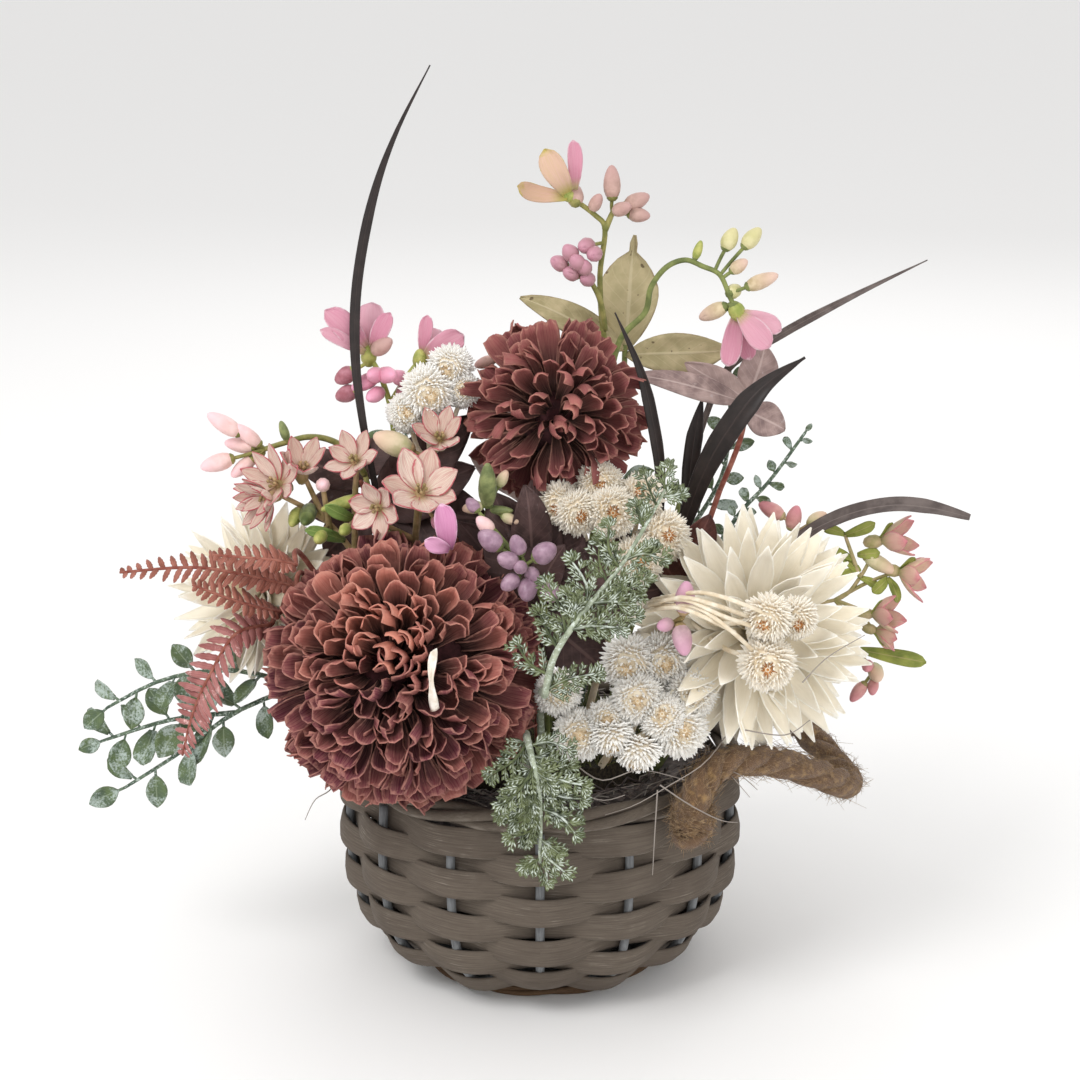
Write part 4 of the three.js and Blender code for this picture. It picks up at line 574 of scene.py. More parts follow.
# ------------------------------------------------------------------ materials
class Shader:
    """A material being put together: every call adds one node and returns its output."""

    def __init__(self, name, roughness=0.8, sheen=0.0):
        self.material = bpy.data.materials.new(name)
        self.material.use_nodes = True
        self.nodes = self.material.node_tree.nodes
        self.links = self.material.node_tree.links
        self.body = self.nodes["Principled BSDF"]
        self.body.inputs["Roughness"].default_value = roughness
        self.body.inputs["Sheen Weight"].default_value = sheen
        self.body.inputs["Specular IOR Level"].default_value = 0.3
        self.coords = self.nodes.new("ShaderNodeTexCoord")

    def put(self, kind, inputs=None, **settings):
        node = self.nodes.new(kind)
        for key, value in settings.items():
            setattr(node, key, value)
        for key, value in (inputs or {}).items():
            self.feed(node.inputs[key], value)
        return node

    def feed(self, socket, value):
        if isinstance(value, bpy.types.NodeSocket):
            self.links.new(value, socket)
        elif socket.type == "RGBA" and len(value) == 3:
            socket.default_value = (*value, 1)
        else:
            socket.default_value = value

    def math(self, operation, a, b=0.0):
        return self.put("ShaderNodeMath", {0: a, 1: b}, operation=operation).outputs[0]

    def times(self, a, b):
        return self.math("MULTIPLY", a, b)

    def minus(self, a, b):
        return self.math("SUBTRACT", a, b)

    def plus(self, a, b):
        return self.math("ADD", a, b)

    def larger(self, a, b):
        return self.math("MAXIMUM", a, b)

    def from_middle(self, across):
        """0 along the middle of a petal or leaf, 1 along both edges."""
        return self.math("ABSOLUTE", self.minus(self.times(across, 2.0), 1.0))

    def ragged(self, scale, share):
        """A rough number round 0 that moves the edge of a colour to and fro."""
        return self.times(self.minus(self.noise(scale), 0.5), share)

    def mix(self, factor, a, b):
        node = self.put("ShaderNodeMix", data_type="RGBA")
        self.feed(node.inputs["Factor"], factor)
        self.feed(node.inputs[6], a)
        self.feed(node.inputs[7], b)
        return node.outputs[2]

    def between(self, value, low, high):
        """0 below low, 1 above high, smooth between."""
        node = self.put("ShaderNodeMapRange", {"Value": value, "From Min": low, "From Max": high},
                        interpolation_type="SMOOTHSTEP")
        return node.outputs["Result"]

    def noise(self, scale, detail=3.0, stretch=(1, 1, 1), source="Object", roughness=0.55):
        mapped = self.put("ShaderNodeMapping", {"Vector": self.coords.outputs[source], "Scale": stretch})
        node = self.put("ShaderNodeTexNoise", {"Vector": mapped.outputs[0], "Scale": scale,
                                               "Detail": detail, "Roughness": roughness})
        return node.outputs["Fac"]

    def tone(self):
        return self.put("ShaderNodeAttribute", attribute_name="tone").outputs["Fac"]

    def uv(self):
        split = self.put("ShaderNodeSeparateXYZ", {0: self.coords.outputs["UV"]})
        return split.outputs[0], split.outputs[1]

    def colour(self, value):
        self.feed(self.body.inputs["Base Color"], value)

    def bump(self, height, strength=0.4, distance=0.4):
        node = self.put("ShaderNodeBump", {"Height": height, "Strength": strength,
                                           "Distance": distance * MM})
        self.links.new(node.outputs[0], self.body.inputs["Normal"])


def rgb(text):
    """Linear colour from a hexadecimal screen colour."""
    parts = [int(text[i:i + 2], 16) / 255 for i in (0, 2, 4)]
    return tuple(p / 12.92 if p <= 0.04045 else ((p + 0.055) / 1.055) ** 2.4 for p in parts)


def petal_material(name, low, high, deep, edge, edge_at=0.72, tip_at=0.82, veins=26.0, roughness=0.85,
                   sheen=0.2, deep_to=0.45, cloud=0.28, veined=0.25, rim_strength=0.8):
    """Petal cloth: a foot colour rising from the base (the flower's own, or painted shade where petals
    crowd), pale along the edge and tip, finely veined.
    """
    sh = Shader(name, roughness, sheen)
    u, v = sh.uv()
    away = sh.from_middle(u)
    ragged = sh.ragged(420.0, 0.35)
    rim = sh.larger(sh.between(sh.plus(away, ragged), edge_at, 1.02),
                    sh.between(sh.plus(v, ragged), tip_at, 1.02))
    body = sh.mix(sh.tone(), low, high)
    # The foot colour: the flower's own in most finishes; in the mums, and partly in the white straw flowers,
    # painted shade between crowded petals.
    body = sh.mix(sh.between(v, 0.0, deep_to), deep, body)
    vein = sh.noise(veins, 2.0, (1.0, 0.06, 1.0), "UV")
    body = sh.mix(sh.between(vein, 0.3, 0.75), body, sh.mix(veined, body, edge))
    cloudy = sh.between(sh.noise(90.0, 3.0), 0.35, 0.7)
    body = sh.mix(sh.times(cloudy, cloud), body, deep)
    sh.colour(sh.mix(sh.times(rim, rim_strength), body, edge))
    sh.bump(vein, 0.35, 0.5)
    return sh.material


def leaf_material(name, low, high, vein_colour, frost=None, frost_share=0.5, spots=None, edge=None,
                  roughness=0.6, veins=True, grit=700.0, edge_at=0.82, white_ribs=False):
    """A leaf with a midrib and side veins, whitened, spotted or edged as asked."""
    sh = Shader(name, roughness, 0.05)
    u, v = sh.uv()
    away = sh.from_middle(u)
    body = sh.mix(sh.between(sh.noise(160.0, 4.0), 0.3, 0.72), low, high)
    body = sh.mix(sh.times(sh.tone(), 0.6), body, high)
    slanted = sh.minus(v, sh.times(away, 0.25))
    lines = sh.math("SINE", sh.times(slanted, 55.0))
    rib = sh.minus(1.0, sh.between(away, 0.03, 0.1))
    side_veins = sh.times(sh.between(lines, 0.9, 1.0), 0.35 if veins else 0.0)
    line = sh.larger(rib, side_veins)
    body = sh.mix(sh.times(line, 0.55), body, vein_colour)
    if spots:
        dark = sh.between(sh.noise(330.0, 1.0), 0.7, 0.74)
        body = sh.mix(sh.times(dark, 0.8), body, spots)
    if edge:
        ragged = sh.ragged(300.0, 0.3)
        body = sh.mix(sh.between(sh.plus(away, ragged), edge_at, edge_at + 0.16), body, edge)
    if frost:
        powder = sh.times(sh.noise(grit, 6.0, roughness=0.7), sh.noise(130.0, 3.0))
        body = sh.mix(sh.between(powder, 0.36 - 0.2 * frost_share, 0.46 - 0.16 * frost_share), body, frost)
    if white_ribs:
        middle = sh.times(sh.between(away, 0.62, 0.22), sh.between(v, 0.05, 0.6))
        body = sh.mix(sh.times(middle, sh.between(sh.noise(260.0, 4.0), 0.4, 0.62)), body, frost)
    sh.colour(body)
    sh.bump(line, 0.4, 0.3)
    return sh.material


def plain_material(name, low, high, scale=220.0, roughness=0.7, stretch=(1, 1, 1), bump=0.3, frost=None,
                   by_length=None):
    """Stems, buds and berries: two colours in fine clouds, a third towards the far end."""
    sh = Shader(name, roughness, 0.1)
    fine = sh.noise(scale, 5.0, stretch)
    body = sh.mix(sh.between(fine, 0.32, 0.7), low, high)
    if by_length:
        _, v = sh.uv()
        body = sh.mix(sh.between(v, 0.2, 0.9), body, by_length)
    if frost:
        body = sh.mix(sh.between(sh.noise(800.0, 5.0, roughness=0.7), 0.52, 0.62), body, frost)
    sh.colour(body)
    sh.bump(fine, bump, 0.3)
    return sh.material


def bud_material(name, low, high, end=None, roughness=0.5):
    """Buds and berries, with a third colour towards the tip where one is given."""
    return plain_material(name, low, high, BUD_CLOUDS, roughness, by_length=end)


def stake_material(name, colour):
    """Painted wood, darker in its grain."""
    return plain_material(name, tuple(c * STAKE_SHADE for c in colour), colour, 160, 0.6, (6, 6, 0.6))


def willow_material(name, low, high, streak, stretch=(1.0, 0.3, 1.0)):
    """Weathered split willow: grain along the strip, whitish streaks, darker hollows."""
    sh = Shader(name, 0.82)
    grain = sh.noise(105.0, 8.0, stretch, "UV", 0.7)
    clouds = sh.noise(45.0, 5.0)
    body = sh.mix(sh.between(grain, 0.15, 0.75), low, high)
    body = sh.mix(sh.times(sh.between(clouds, 0.4, 0.7), 0.4), body, low)
    u, _ = sh.uv()
    from_edge = sh.math("ABSOLUTE", sh.minus(u, 0.27))
    worn = sh.times(sh.between(from_edge, 0.1, 0.01), sh.between(sh.noise(110.0, 4.0), 0.4, 0.6))
    white = sh.times(sh.between(grain, 0.5, 0.7), sh.between(sh.noise(70.0, 3.0), 0.5, 0.64))
    body = sh.mix(sh.times(sh.larger(worn, white), 0.45), body, streak)
    sh.colour(sh.mix(sh.times(sh.tone(), 0.18), body, low))
    sh.bump(grain, 0.7, 0.35)
    return sh.material


def twig_material(name, low, high, grey):
    """Fine twigs with dark bark, some of them weathered to grey."""
    sh = Shader(name, 0.7, 0.1)
    fine = sh.noise(300.0, 4.0)
    body = sh.mix(sh.between(fine, 0.35, 0.7), low, high)
    sh.colour(sh.mix(sh.between(sh.tone(), 0.5, 0.9), body, grey))
    sh.bump(fine, 0.3, 0.3)
    return sh.material


def jute_material(name, low, high, light):
    """Rope fibre, streaked along its strands, with lighter hairs."""
    sh = Shader(name, 0.95, 0.25)
    fibre = sh.noise(9.0, 8.0, (14.0, 46.0, 1.0), "UV", 0.7)
    body = sh.mix(sh.between(fibre, 0.3, 0.62), low, high)
    body = sh.mix(sh.between(sh.noise(300.0, 4.0), 0.5, 0.72), body, light)
    sh.colour(body)
    sh.bump(fibre, 0.9, 0.8)
    return sh.material


# ------------------------------------------------------------------ petals and leaves
# An outline gives the share of its full width that a petal or leaf has at t, from 0 at its
# foot to 1 at its tip.
def scoop(t):
    """Outline of a mum's petal: narrow foot, broad blunt end."""
    grow = 0.4 + 0.6 * math.sin(min(1.0, 1.2 * t) * math.pi / 2)
    return grow * (1 - 0.22 * max(0.0, (t - 0.8) / 0.2) ** 2)


def pointed(t):
    """Outline of an ivory petal: narrow foot, then drawn out to a point."""
    grow = 0.4 + 0.6 * math.sin(min(1.0, 2 * t) * math.pi / 2)
    return grow * (1 - 0.95 * max(0.0, (t - 0.5) / 0.5) ** 1.7)


def oval(t):
    """Outline of a plain leaf or bract: the same at both ends."""
    return max(0.05, math.sin(math.pi * t) ** 0.7)


def finger_tip(t):
    """Outline of the broad olive leaf: widest past the middle, then drawn into a narrow finger."""
    body = math.sin(math.pi * min(1.0, t / 0.86)) ** 0.6 * (0.62 + 0.38 * min(1.0, t / 0.55))
    return max(0.13 if t < 0.98 else 0.05, body)


def long_petal(t):
    """Outline of a pink spray's petal: narrow foot, widest past the middle, round blunt tip."""
    grow = 0.36 + 0.64 * math.sin(min(1.0, t / 0.66) * math.pi / 2)
    return max(0.06, grow * math.sqrt(max(0.0, 1 - max(0.0, (t - 0.7) / 0.3) ** 2)))


def tapered(t):
    """Outline of a blossom's petal: widest before its middle."""
    return max(0.05, math.sin(math.pi * t ** 1.15) ** 0.85)


def lance(t):
    """Outline of a needle: widest past its middle."""
    return max(0.05, math.sin(math.pi * t ** 0.75) ** 0.9)


def add_petal(piece, foot, tip, inner, width, shape=oval, cup=0.3, arch=0.0, ragged=0.0, seed=0, tone=0.5,
              slot=0, across=4, along=5, twist=0.0, rounding=0.0, ripple=0.0):
    """A petal or leaf from foot to tip, hollow towards inner; arch lifts its middle that way."""
    forward, side, up = axes(tip - foot, inner)
    length = (tip - foot).length

    def place(s, t):
        half = width / 2 * shape(t)
        reach = length * t - rounding * width * s * s * t ** 4
        if t > LAST_ROW:
            reach += ragged * vary(seed * 9 + round(s * 10), 3)
        lift = arch * length * 4 * t * (1 - t) + cup * half * s * s
        lift += ripple * width * math.sin(9 * t + 5 * s + seed) * abs(s)
        across_way = turned(side, up, twist * t)
        lift_way = turned(up, -side, twist * t)
        return foot + forward * reach + across_way * (half * s) + lift_way * lift

    add_sheet(piece, across, along, place, tone, slot)


def bloom_head(piece, plant):
    """Petals in spiral order round a heart, near black in the mums as painted shade between the petals,
    crowded in the middle, from there to behind the edge.
    """
    centre = seen(*plant["foot"])
    forward, side, up = axes(plant["facing"])
    radius, loose, first = plant["radius"], plant["loose"], plant["first"]
    add_ball(piece, centre, radius * plant["heart"], forward, 0.92, slot=1, sides=20, rings=14)
    for i in range(plant["petals"]):
        share = (i + 0.5) / plant["petals"]
        opened = first + (plant["open"] - first) * share ** plant["crowd"]
        lean = math.radians(opened + 7 * loose * vary(i, 6))
        out = turned(side, up, i * GOLDEN_ANGLE + 0.25 * loose * vary(i, 7))
        roll = out.cross(forward) * (0.5 * loose * vary(i, 8))
        foot = centre + turned(forward, out, lean * 0.85) * (radius * plant["sunk"])
        tip = centre + turned(forward, out, lean) * (radius * (0.97 + 0.06 * loose * vary(i)))
        width = plant["width"] * (plant["narrow"] + (1 - plant["narrow"]) * share) * (1 + 0.14 * vary(i, 2))
        # Inner petals take more of their second colour; upper ones take more again, as painted light falling
        # from above.
        warmth_and_top_light = plant["warm"] * max(0.0, 1 - lean / WARM_AND_LIT_REACH) * (0.5 + 0.7 * out.z)
        add_petal(piece, foot, tip, turned(-out, forward, lean) + roll, width,
                  pointed if plant.get("pointed") else scoop, seed=i,
                  cup=plant["cup"] * (1 + 0.6 * vary(i, 5)), arch=-plant["curl"] * (1 + 0.5 * vary(i, 4)),
                  ragged=plant.get("ragged", 0.0), rounding=plant.get("rounding", 0.0),
                  twist=0.6 * loose * vary(i, 10), tone=min(1.0, max(0.0, 0.13 + 0.24 * vary(i, 1) + warmth_and_top_light)))
    if plant["name"] == "mum_large":
        paper_shred(piece)


def paper_shred(piece):
    """A narrow shred of pale paper caught in the large mum, folded wider at its lower end."""
    line = smooth_line(seen_path(SHRED_WAY), SHRED_STEPS)

    def place(s, t):
        half = 1.1 + 3.2 * max(0.0, t - 0.72) + 0.45 * math.sin(11 * t)
        fold = Vector((half * s, 0.9 * math.sin(5 * t + 2 * s), 0.5 * s))
        return line[round(t * SHRED_STEPS)] + fold

    add_sheet(piece, 4, SHRED_STEPS, place, 0.5, 3)


def straw_head(piece, place, facing, radius, seed):
    """A straw flower: a fluffy dome of crowded narrow bracts round a small tan star."""
    forward, side, up = axes(facing)
    base = place - forward * (radius * 0.4)
    crown = base + forward * (radius * 0.6)
    add_ball(piece, base, radius * 0.66, forward, slot=2, sides=12, rings=8)
    add_ball(piece, crown, radius * 0.07, forward, 1.0, slot=1, sides=8, rings=5)
    for i in range(STAR_RAYS):
        out = turned(side, up, 2 * math.pi * (i + 0.3 * vary(i, seed)) / STAR_RAYS)
        tip = crown + (out + forward * 0.45).normalized() * (radius * (0.3 + 0.09 * vary(i, seed + 1)))
        add_petal(piece, crown, tip, forward - out * 0.4, radius * 0.05, oval, cup=0.4, seed=i,
                  tone=shade(i, seed), slot=1, across=2, along=2)
    for i in range(STRAW_BRACTS):
        share = (i + 0.5) / STRAW_BRACTS
        lean = math.radians(19 + 99 * share ** 0.64 + 6 * vary(i, seed + 2))
        out = turned(side, up, i * GOLDEN_ANGLE + seed)
        ray = turned(forward, out, lean)
        inner = turned(-out, forward, lean)
        tip = base + ray * (radius * (0.88 + 0.2 * share + 0.09 * vary(i, seed))) + inner * (0.1 * radius)
        add_petal(piece, base + ray * (radius * 0.5), tip, inner, radius * (0.13 + 0.08 * share), oval,
                  cup=0.5, arch=-0.16, seed=i, tone=shade(i, seed), across=2, along=2)


def straw_bunch(piece, plant):
    """Straw flowers whose stalks gather where the bunch's stem begins."""
    gather = seen(*plant["foot"])
    for i, (right, up, depth, radius, *own_facing) in enumerate(plant["heads"]):
        place = seen(right, up, depth)
        facing = Vector(own_facing[0]) if own_facing else plant["facing"]
        facing = facing + Vector((0.3 * vary(i, 1), 0, 0.3 * vary(i, 2)))
        straw_head(piece, place, facing, radius, i)
        back = place - facing.normalized() * radius * 0.5
        bend = back.lerp(gather, 0.5) + Vector((vary(i, 3), vary(i, 4), 1.5 * vary(i, 5) - 1)) * 2
        add_tube(piece, smooth_line([back, bend, gather], 8), 0.75, 5, slot=2)
    for way in plant.get("stalks", ()):
        add_tube(piece, smooth_line(seen_path(way), 12), 0.62, 5, slot=2)


# ------------------------------------------------------------------ fronds and sprigs
def fern_frond(piece, plant):
    """A rib with narrow toothed leaflets in pairs, shorter towards the tip."""
    steps = plant["leaflets"] * 4
    line = smooth_line(seen_path(plant["way"]), steps)
    add_tube(piece, line, lambda t: 0.75 - 0.45 * t, 5, slot=1)
    for i in range(1, steps):
        share = i / steps
        direction = (line[i + 1] - line[i - 1]).normalized()
        _, side, up = axes(direction, plant["facing"])
        hand = 1 if i % 2 else -1
        length = (plant["width"] * math.sin(math.pi * (0.12 + 0.83 * share)) + 1) * 0.62
        out = (side * hand + direction * (0.42 + 0.1 * vary(i)) + up * 0.22 * vary(i, 2)).normalized()
        add_petal(piece, line[i], line[i] + out * length, up, 3.3 * (1.1 - 0.5 * share), toothed,
                  cup=-0.3, arch=0.08, seed=i, tone=shade(i, 1), across=2, along=8, twist=0.4 * vary(i, 3))


def toothed(t):
    """Outline of a fern's leaflet, with a saw-toothed edge."""
    teeth = 0.82 + 0.18 * (round(t * 8) % 2)
    return max(0.06, math.sin(math.pi * min(1, 0.14 + 0.86 * t)) ** 0.6 * teeth)


def cedar_spray(piece, foot, direction, facing, length, seed):
    """One flat feather of a cedar sprig: side ribs in pairs, each edged with short needles."""
    forward, side, up = axes(direction, facing)
    bow = side * (0.16 * length * vary(seed, 9)) + up * (0.1 * length * vary(seed, 10))
    line = smooth_line([foot, foot + forward * (length * 0.5) + bow, foot + forward * length], 6)
    add_tube(piece, line, lambda t: 0.5 - 0.3 * t, 4, slot=0)
    count = max(3, int(length / CEDAR_RIB_SPACING))
    for k in range(count * 2 + 1):
        t = min(1.0, (k // 2 + 0.5) / count)
        hand = 1 if k % 2 else -1
        base = line[min(6, int(t * 6.5))].lerp(line[min(6, int(t * 6.5) + 1)], t * 6.5 % 1)
        size = (8.0 - 4.6 * t) * min(1.0, length / 13) * (1 + 0.35 * vary(k, seed))
        out = (forward * 1.15 + side * hand * (0.9 if t < 1 else 0) + up * 0.3 * vary(k, seed)).normalized()
        cross = up.cross(out).normalized()
        add_petal(piece, base, base + out * size, up, 0.75, lance, cup=-0.4, seed=k, tone=shade(k, seed),
                  across=2, along=2)
        needles = max(2, int(size / CEDAR_NEEDLE_SPACING))
        for n in range(needles * 2):
            share = (n // 2 + 0.5) / needles
            start = base + out * (size * share)
            way = out * 1.7 + cross * (0.9 if n % 2 else -0.9) + up * 0.35 * vary(n, seed + k)
            add_petal(piece, start, start + way.normalized() * (3.9 - 1.9 * share), up, 1.3, lance,
                      cup=-0.4, seed=n, tone=shade(n, seed + k), across=1, along=2)


def cedar_sprig(piece, plant):
    """A woody twig with flat feathers on both sides, some of them forked."""
    steps = plant["pairs"] * 4
    facing = plant["facing"]
    line = smooth_line(seen_path(plant["way"]), steps)
    add_tube(piece, line, lambda t: 1.3 - 0.85 * t, 6, slot=1)
    for i in range(1, steps + 1):
        if vary(i, 6) < -0.1 and i < steps:
            continue
        direction = (line[i] - line[i - 1]).normalized()
        _, side, _ = axes(direction, facing)
        hand = 1 if i % 2 else -1
        length = plant["reach"] * (1 - 0.4 * i / steps) * (0.95 + 0.35 * vary(i))
        out = direction * (0.8 if i < steps else 3) + side * hand + facing * (0.42 * vary(i, 4) + 0.1)
        cedar_spray(piece, line[i], out, facing, length, i)
        if i % 3 == 0:
            fork = direction * 1.6 + side * hand * 0.5 + facing * 0.4 * vary(i, 5)
            start = line[i] + out.normalized() * (length * 0.35)
            cedar_spray(piece, start, fork, facing, length * 0.55, i + 7)


def round_leaves(piece, plant):
    """Oval leaves in near pairs along each twig, with one at its end."""
    for twig, way in enumerate(plant["twigs"]):
        steps = plant["leaves"] * 2
        line = smooth_line(seen_path(way), steps)
        add_tube(piece, line, lambda t: 0.9 - 0.45 * t, 5, slot=1)
        for i in range(2, steps + 1):
            direction = (line[i] - line[i - 1]).normalized()
            _, side, _ = axes(direction, plant["facing"])
            last = i == steps
            out = direction * (1 if last else 0.5) + side * (0 if last else (1 if i % 2 else -1))
            out = (out + plant["facing"] * 0.4 * vary(i, twig)).normalized()
            size = plant["size"] * (0.95 - 0.3 * i / steps) * (1 + 0.18 * vary(i, twig + 5))
            stalk = line[i] + out * size * 0.22
            add_tube(piece, [line[i], stalk], 0.4, 4, slot=1)
            tilt = plant["facing"] + Vector((vary(i, 11), vary(i, 12), vary(i, 13))) * 0.8
            add_petal(piece, stalk, stalk + out * size * 1.08, tilt, size * (0.72 + 0.12 * vary(i, 14)),
                      long_petal if i % 3 == 0 else oval, cup=0.35, arch=0.1 * vary(i, 15), seed=i,
                      tone=shade(i, 2), across=6, along=8, ripple=0.03)


def add_leaf(piece, plant, foot, tip, width, arch, seed, slot, shape):
    """A broad leaf or loose petal between two places of the view."""
    add_petal(piece, seen(*foot), seen(*tip), plant["facing"], width, shape, cup=0.22, arch=arch, seed=seed,
              tone=shade(seed, 4), slot=slot, across=8, along=14, ripple=0.04, twist=0.3 * vary(seed))


def leafy_sprig(piece, plant):
    """Broad leaves, each from its own foot on or beside a twig."""
    for way in plant["twigs"]:
        add_tube(piece, smooth_line(seen_path(way), 10), 0.9, 6, slot=1)
    for i, (foot, tip, width, *arch) in enumerate(plant["leaves"]):
        shape = finger_tip if i == plant.get("broad_leaf") else oval
        add_leaf(piece, plant, foot, tip, width, arch[0] if arch else 0.1, i, 0, shape)


def long_blade(piece, plant):
    """A strap leaf with a keel, narrow at its foot and drawn out to a fine tip."""
    line = smooth_line(seen_path(plant["way"]), BLADE_STEPS)
    frames = [axes(line[min(i + 1, BLADE_STEPS)] - line[max(i - 1, 0)], plant["facing"])
              for i in range(BLADE_STEPS + 1)]

    def place(s, t):
        i = round(t * BLADE_STEPS)
        _, side, up = frames[i]
        taper = min(1, 2.6 * (1 - t) + plant.get("blunt", 0))
        half = plant["width"] / 2 * max(0.1, min(1, 0.55 + 1.2 * t) * taper)
        ridge = 0.3 * half * (abs(s) - 0.6) + 0.05 * half * math.cos(6 * math.pi * s)
        return line[i] + side * (half * s) + up * ridge

    add_sheet(piece, 8, BLADE_STEPS, place, 0.5, 0)


def add_bud(piece, start, place, radius, stretch, seed, slot):
    """A closed bud with its cap and stalk."""
    direction = (place - start).normalized() if (place - start).length > 0.5 else UP
    foot = place - direction * (radius * stretch)
    side = axes(direction)[1]
    bend = start.lerp(foot, 0.5) + side * (0.8 * vary(seed, 2))
    if (foot - start).length > 1:
        add_tube(piece, smooth_line([start, bend, foot], 6), 0.55, 5, slot=1)
    add_ball(piece, place, radius * 0.92, direction, stretch * 1.12, tone=shade(seed), slot=slot,
             sides=10, rings=9, bulge=0.2)
    add_ball(piece, foot + direction * radius * 0.25, radius * 0.62, direction, 0.8, slot=1, sides=8, rings=5)


def open_flower(piece, place, facing, radius, petals, width, lift, seed):
    """A small open flower: cupped petals, a knot of stamens and a short neck."""
    forward, side, up = axes(facing)
    add_ball(piece, place - forward * radius * 0.14, radius * 0.17, forward, 1.5, slot=1, sides=8, rings=5)
    for i in range(petals):
        out = turned(side, up, 2 * math.pi * (i + 0.12 * vary(i, seed)) / petals + 0.2)
        rise = lift + 0.14 * vary(i, seed + 3)
        ray = turned(out, forward, rise)
        inner = turned(forward, -out, rise)
        reach = radius * (1.02 + 0.07 * vary(i, seed + 1))
        add_petal(piece, place + ray * 0.6, place + ray * reach, inner, width * 1.15, tapered, cup=0.36,
                  arch=-0.1, seed=i + seed, tone=shade(i, seed), across=6, along=8, ripple=0.03)
    for k in range(STAMENS):
        end = place + forward * (radius * 0.3) + turned(side, up, k * GOLDEN_ANGLE) * (radius * 0.1)
        add_tube(piece, [place, end], 0.22, 4, slot=1)
        add_ball(piece, end, 0.55, forward, slot=1, sides=6, rings=4)


def flower_spray(piece, plant):
    """Twigs with closed buds on short stalks, open flowers and leaves."""
    ways = [smooth_line(seen_path(way), 6 * (len(way) - 1)) for way in plant["twigs"]]
    thick = plant.get("thick", 1.0)
    for way in ways:
        add_tube(piece, way, lambda t: (1.15 - 0.35 * t) * thick, 6, slot=1)
    twigs = [point for way in ways for point in way]

    def nearest(place):
        return min(twigs, key=lambda point: (point - place).length)

    for i, (right, up, depth, radius, stretch, *slot) in enumerate(plant["buds"]):
        place = seen(right, up, depth)
        add_bud(piece, nearest(place), place, radius, stretch, i, slot[0] if slot else 2)
    for i, (right, up, depth, radius, petals, width, lift, facing) in enumerate(plant.get("flowers", ())):
        place = seen(right, up, depth)
        start = nearest(place)
        open_flower(piece, place, Vector(facing), radius, petals, width, lift, i)
        if (start - place).length > 1:
            add_tube(piece, [start, place], 0.8 * thick, 5, slot=1)
    for i, (foot, tip, width, *rest) in enumerate(plant.get("leaves", ())):
        arch, slot = (*rest, 3)[:2] if rest else (0.1, 3)
        add_leaf(piece, plant, foot, tip, width, arch, i, slot, long_petal)


# ------------------------------------------------------------------ stems in their holes
def spread_holes():
    """Each stem's hole starts under its own bloom and moves until none are too near."""

    def inside(hole):
        return hole if hole.length <= HOLE_REACH else hole.normalized() * HOLE_REACH

    holes = []
    for plant in PLANTS:
        top = seen(*plant["foot"])
        holes.append(inside(Vector((top.x, top.y)) * HOLE_SHARE))
    for _ in range(HOLE_ROUNDS):
        for i in range(len(holes)):
            for j in range(i + 1, len(holes)):
                apart = holes[i] - holes[j]
                lack = HOLE_SPACING - apart.length
                if lack > 0:
                    push = apart.normalized() * (lack / 2)
                    holes[i] = inside(holes[i] + push)
                    holes[j] = inside(holes[j] - push)
    return holes


def add_stem(piece, plant, hole, slot):
    """The stem from the plant's foot down into its hole, by way of any bends."""
    way = seen_path([plant["foot"], *plant.get("bends", ())]) + [Vector((hole.x, hole.y, STEM_END))]
    line = smooth_line(way, 8 * (len(way) - 1)) if len(way) > 2 else way
    add_tube(piece, line, plant["stem"] * STEM_SHARE, 7, slot=slot)


# ------------------------------------------------------------------ the basket
def wall_at(along):
    """Radius, height and outward direction of the bowl's wall, that far from its foot."""
    rest = along
    for (r0, z0), (r1, z1) in zip(WALL, WALL[1:]):
        length = math.hypot(r1 - r0, z1 - z0)
        if rest <= length or (r1, z1) == WALL[-1]:
            t = rest / length
            return r0 + t * (r1 - r0), z0 + t * (z1 - z0), (z1 - z0) / length, -(r1 - r0) / length
        rest -= length
    return None


def weave_strip(piece, row, basket):
    """One strip of split willow, in front of and behind the stakes in turn."""
    along = FIRST_ROW_ALONG_WALL + row * ROW_PITCH
    start = 0 if row % 2 else math.pi
    height = basket.strip_height / MM
    thick = basket.strip_thickness / MM
    _, _, out, down = wall_at(along)

    # Swing carries the strip past the stakes, and front is 1 where it lies outermost.
    def place(s, t):
        angle = 2 * math.pi * t
        section = math.pi * s
        swing = STRIP_SWING * math.cos(angle * STAKES / 2 + start)
        front = 0.5 + 0.5 * math.cos(angle * STAKES / 2 + start)
        wide = 1 + 0.12 * front + 0.04 * math.sin(3 * angle + row) + 0.03 * math.sin(11 * angle + 2 * row)
        high = math.copysign(abs(math.sin(section)) ** 0.3, math.sin(section)) * height / 2 * wide
        deep = math.copysign(abs(math.cos(section)) ** 0.45, math.cos(section)) * thick / 2
        deep += 0.3 * front * (1 - (2 * high / height) ** 2) - SHINGLE_LEAN * 2 * high / height
        high += 0.35 * math.sin(5 * angle + 1.7 * row) + 0.2 * math.sin(17 * angle + row)
        radius, level, _, _ = wall_at(along + high)
        return around(radius + out * (swing + deep), angle, level + down * (swing + deep))

    add_sheet(piece, 14, STAKES * 12, place, 0.5 + 0.5 * vary(row), closed=True)


def twisted_ring(piece, radius, height, offset, rod, strands, turns, steps, slot=0):
    """Rods laid round each other; they run on into one another when turns don't divide."""
    circuits = 1 if turns % strands == 0 else strands
    for strand in range(strands if circuits == 1 else 1):
        line = []
        for i in range(steps * circuits):
            angle = 2 * math.pi * i / steps
            turn = angle * turns / strands + 2 * math.pi * strand / strands
            line.append(around(radius + offset * math.cos(turn), angle, height + offset * math.sin(turn)))
        add_tube(piece, line, rod, 10, tone=0.3 + 0.3 * strand, slot=slot, ring=True)


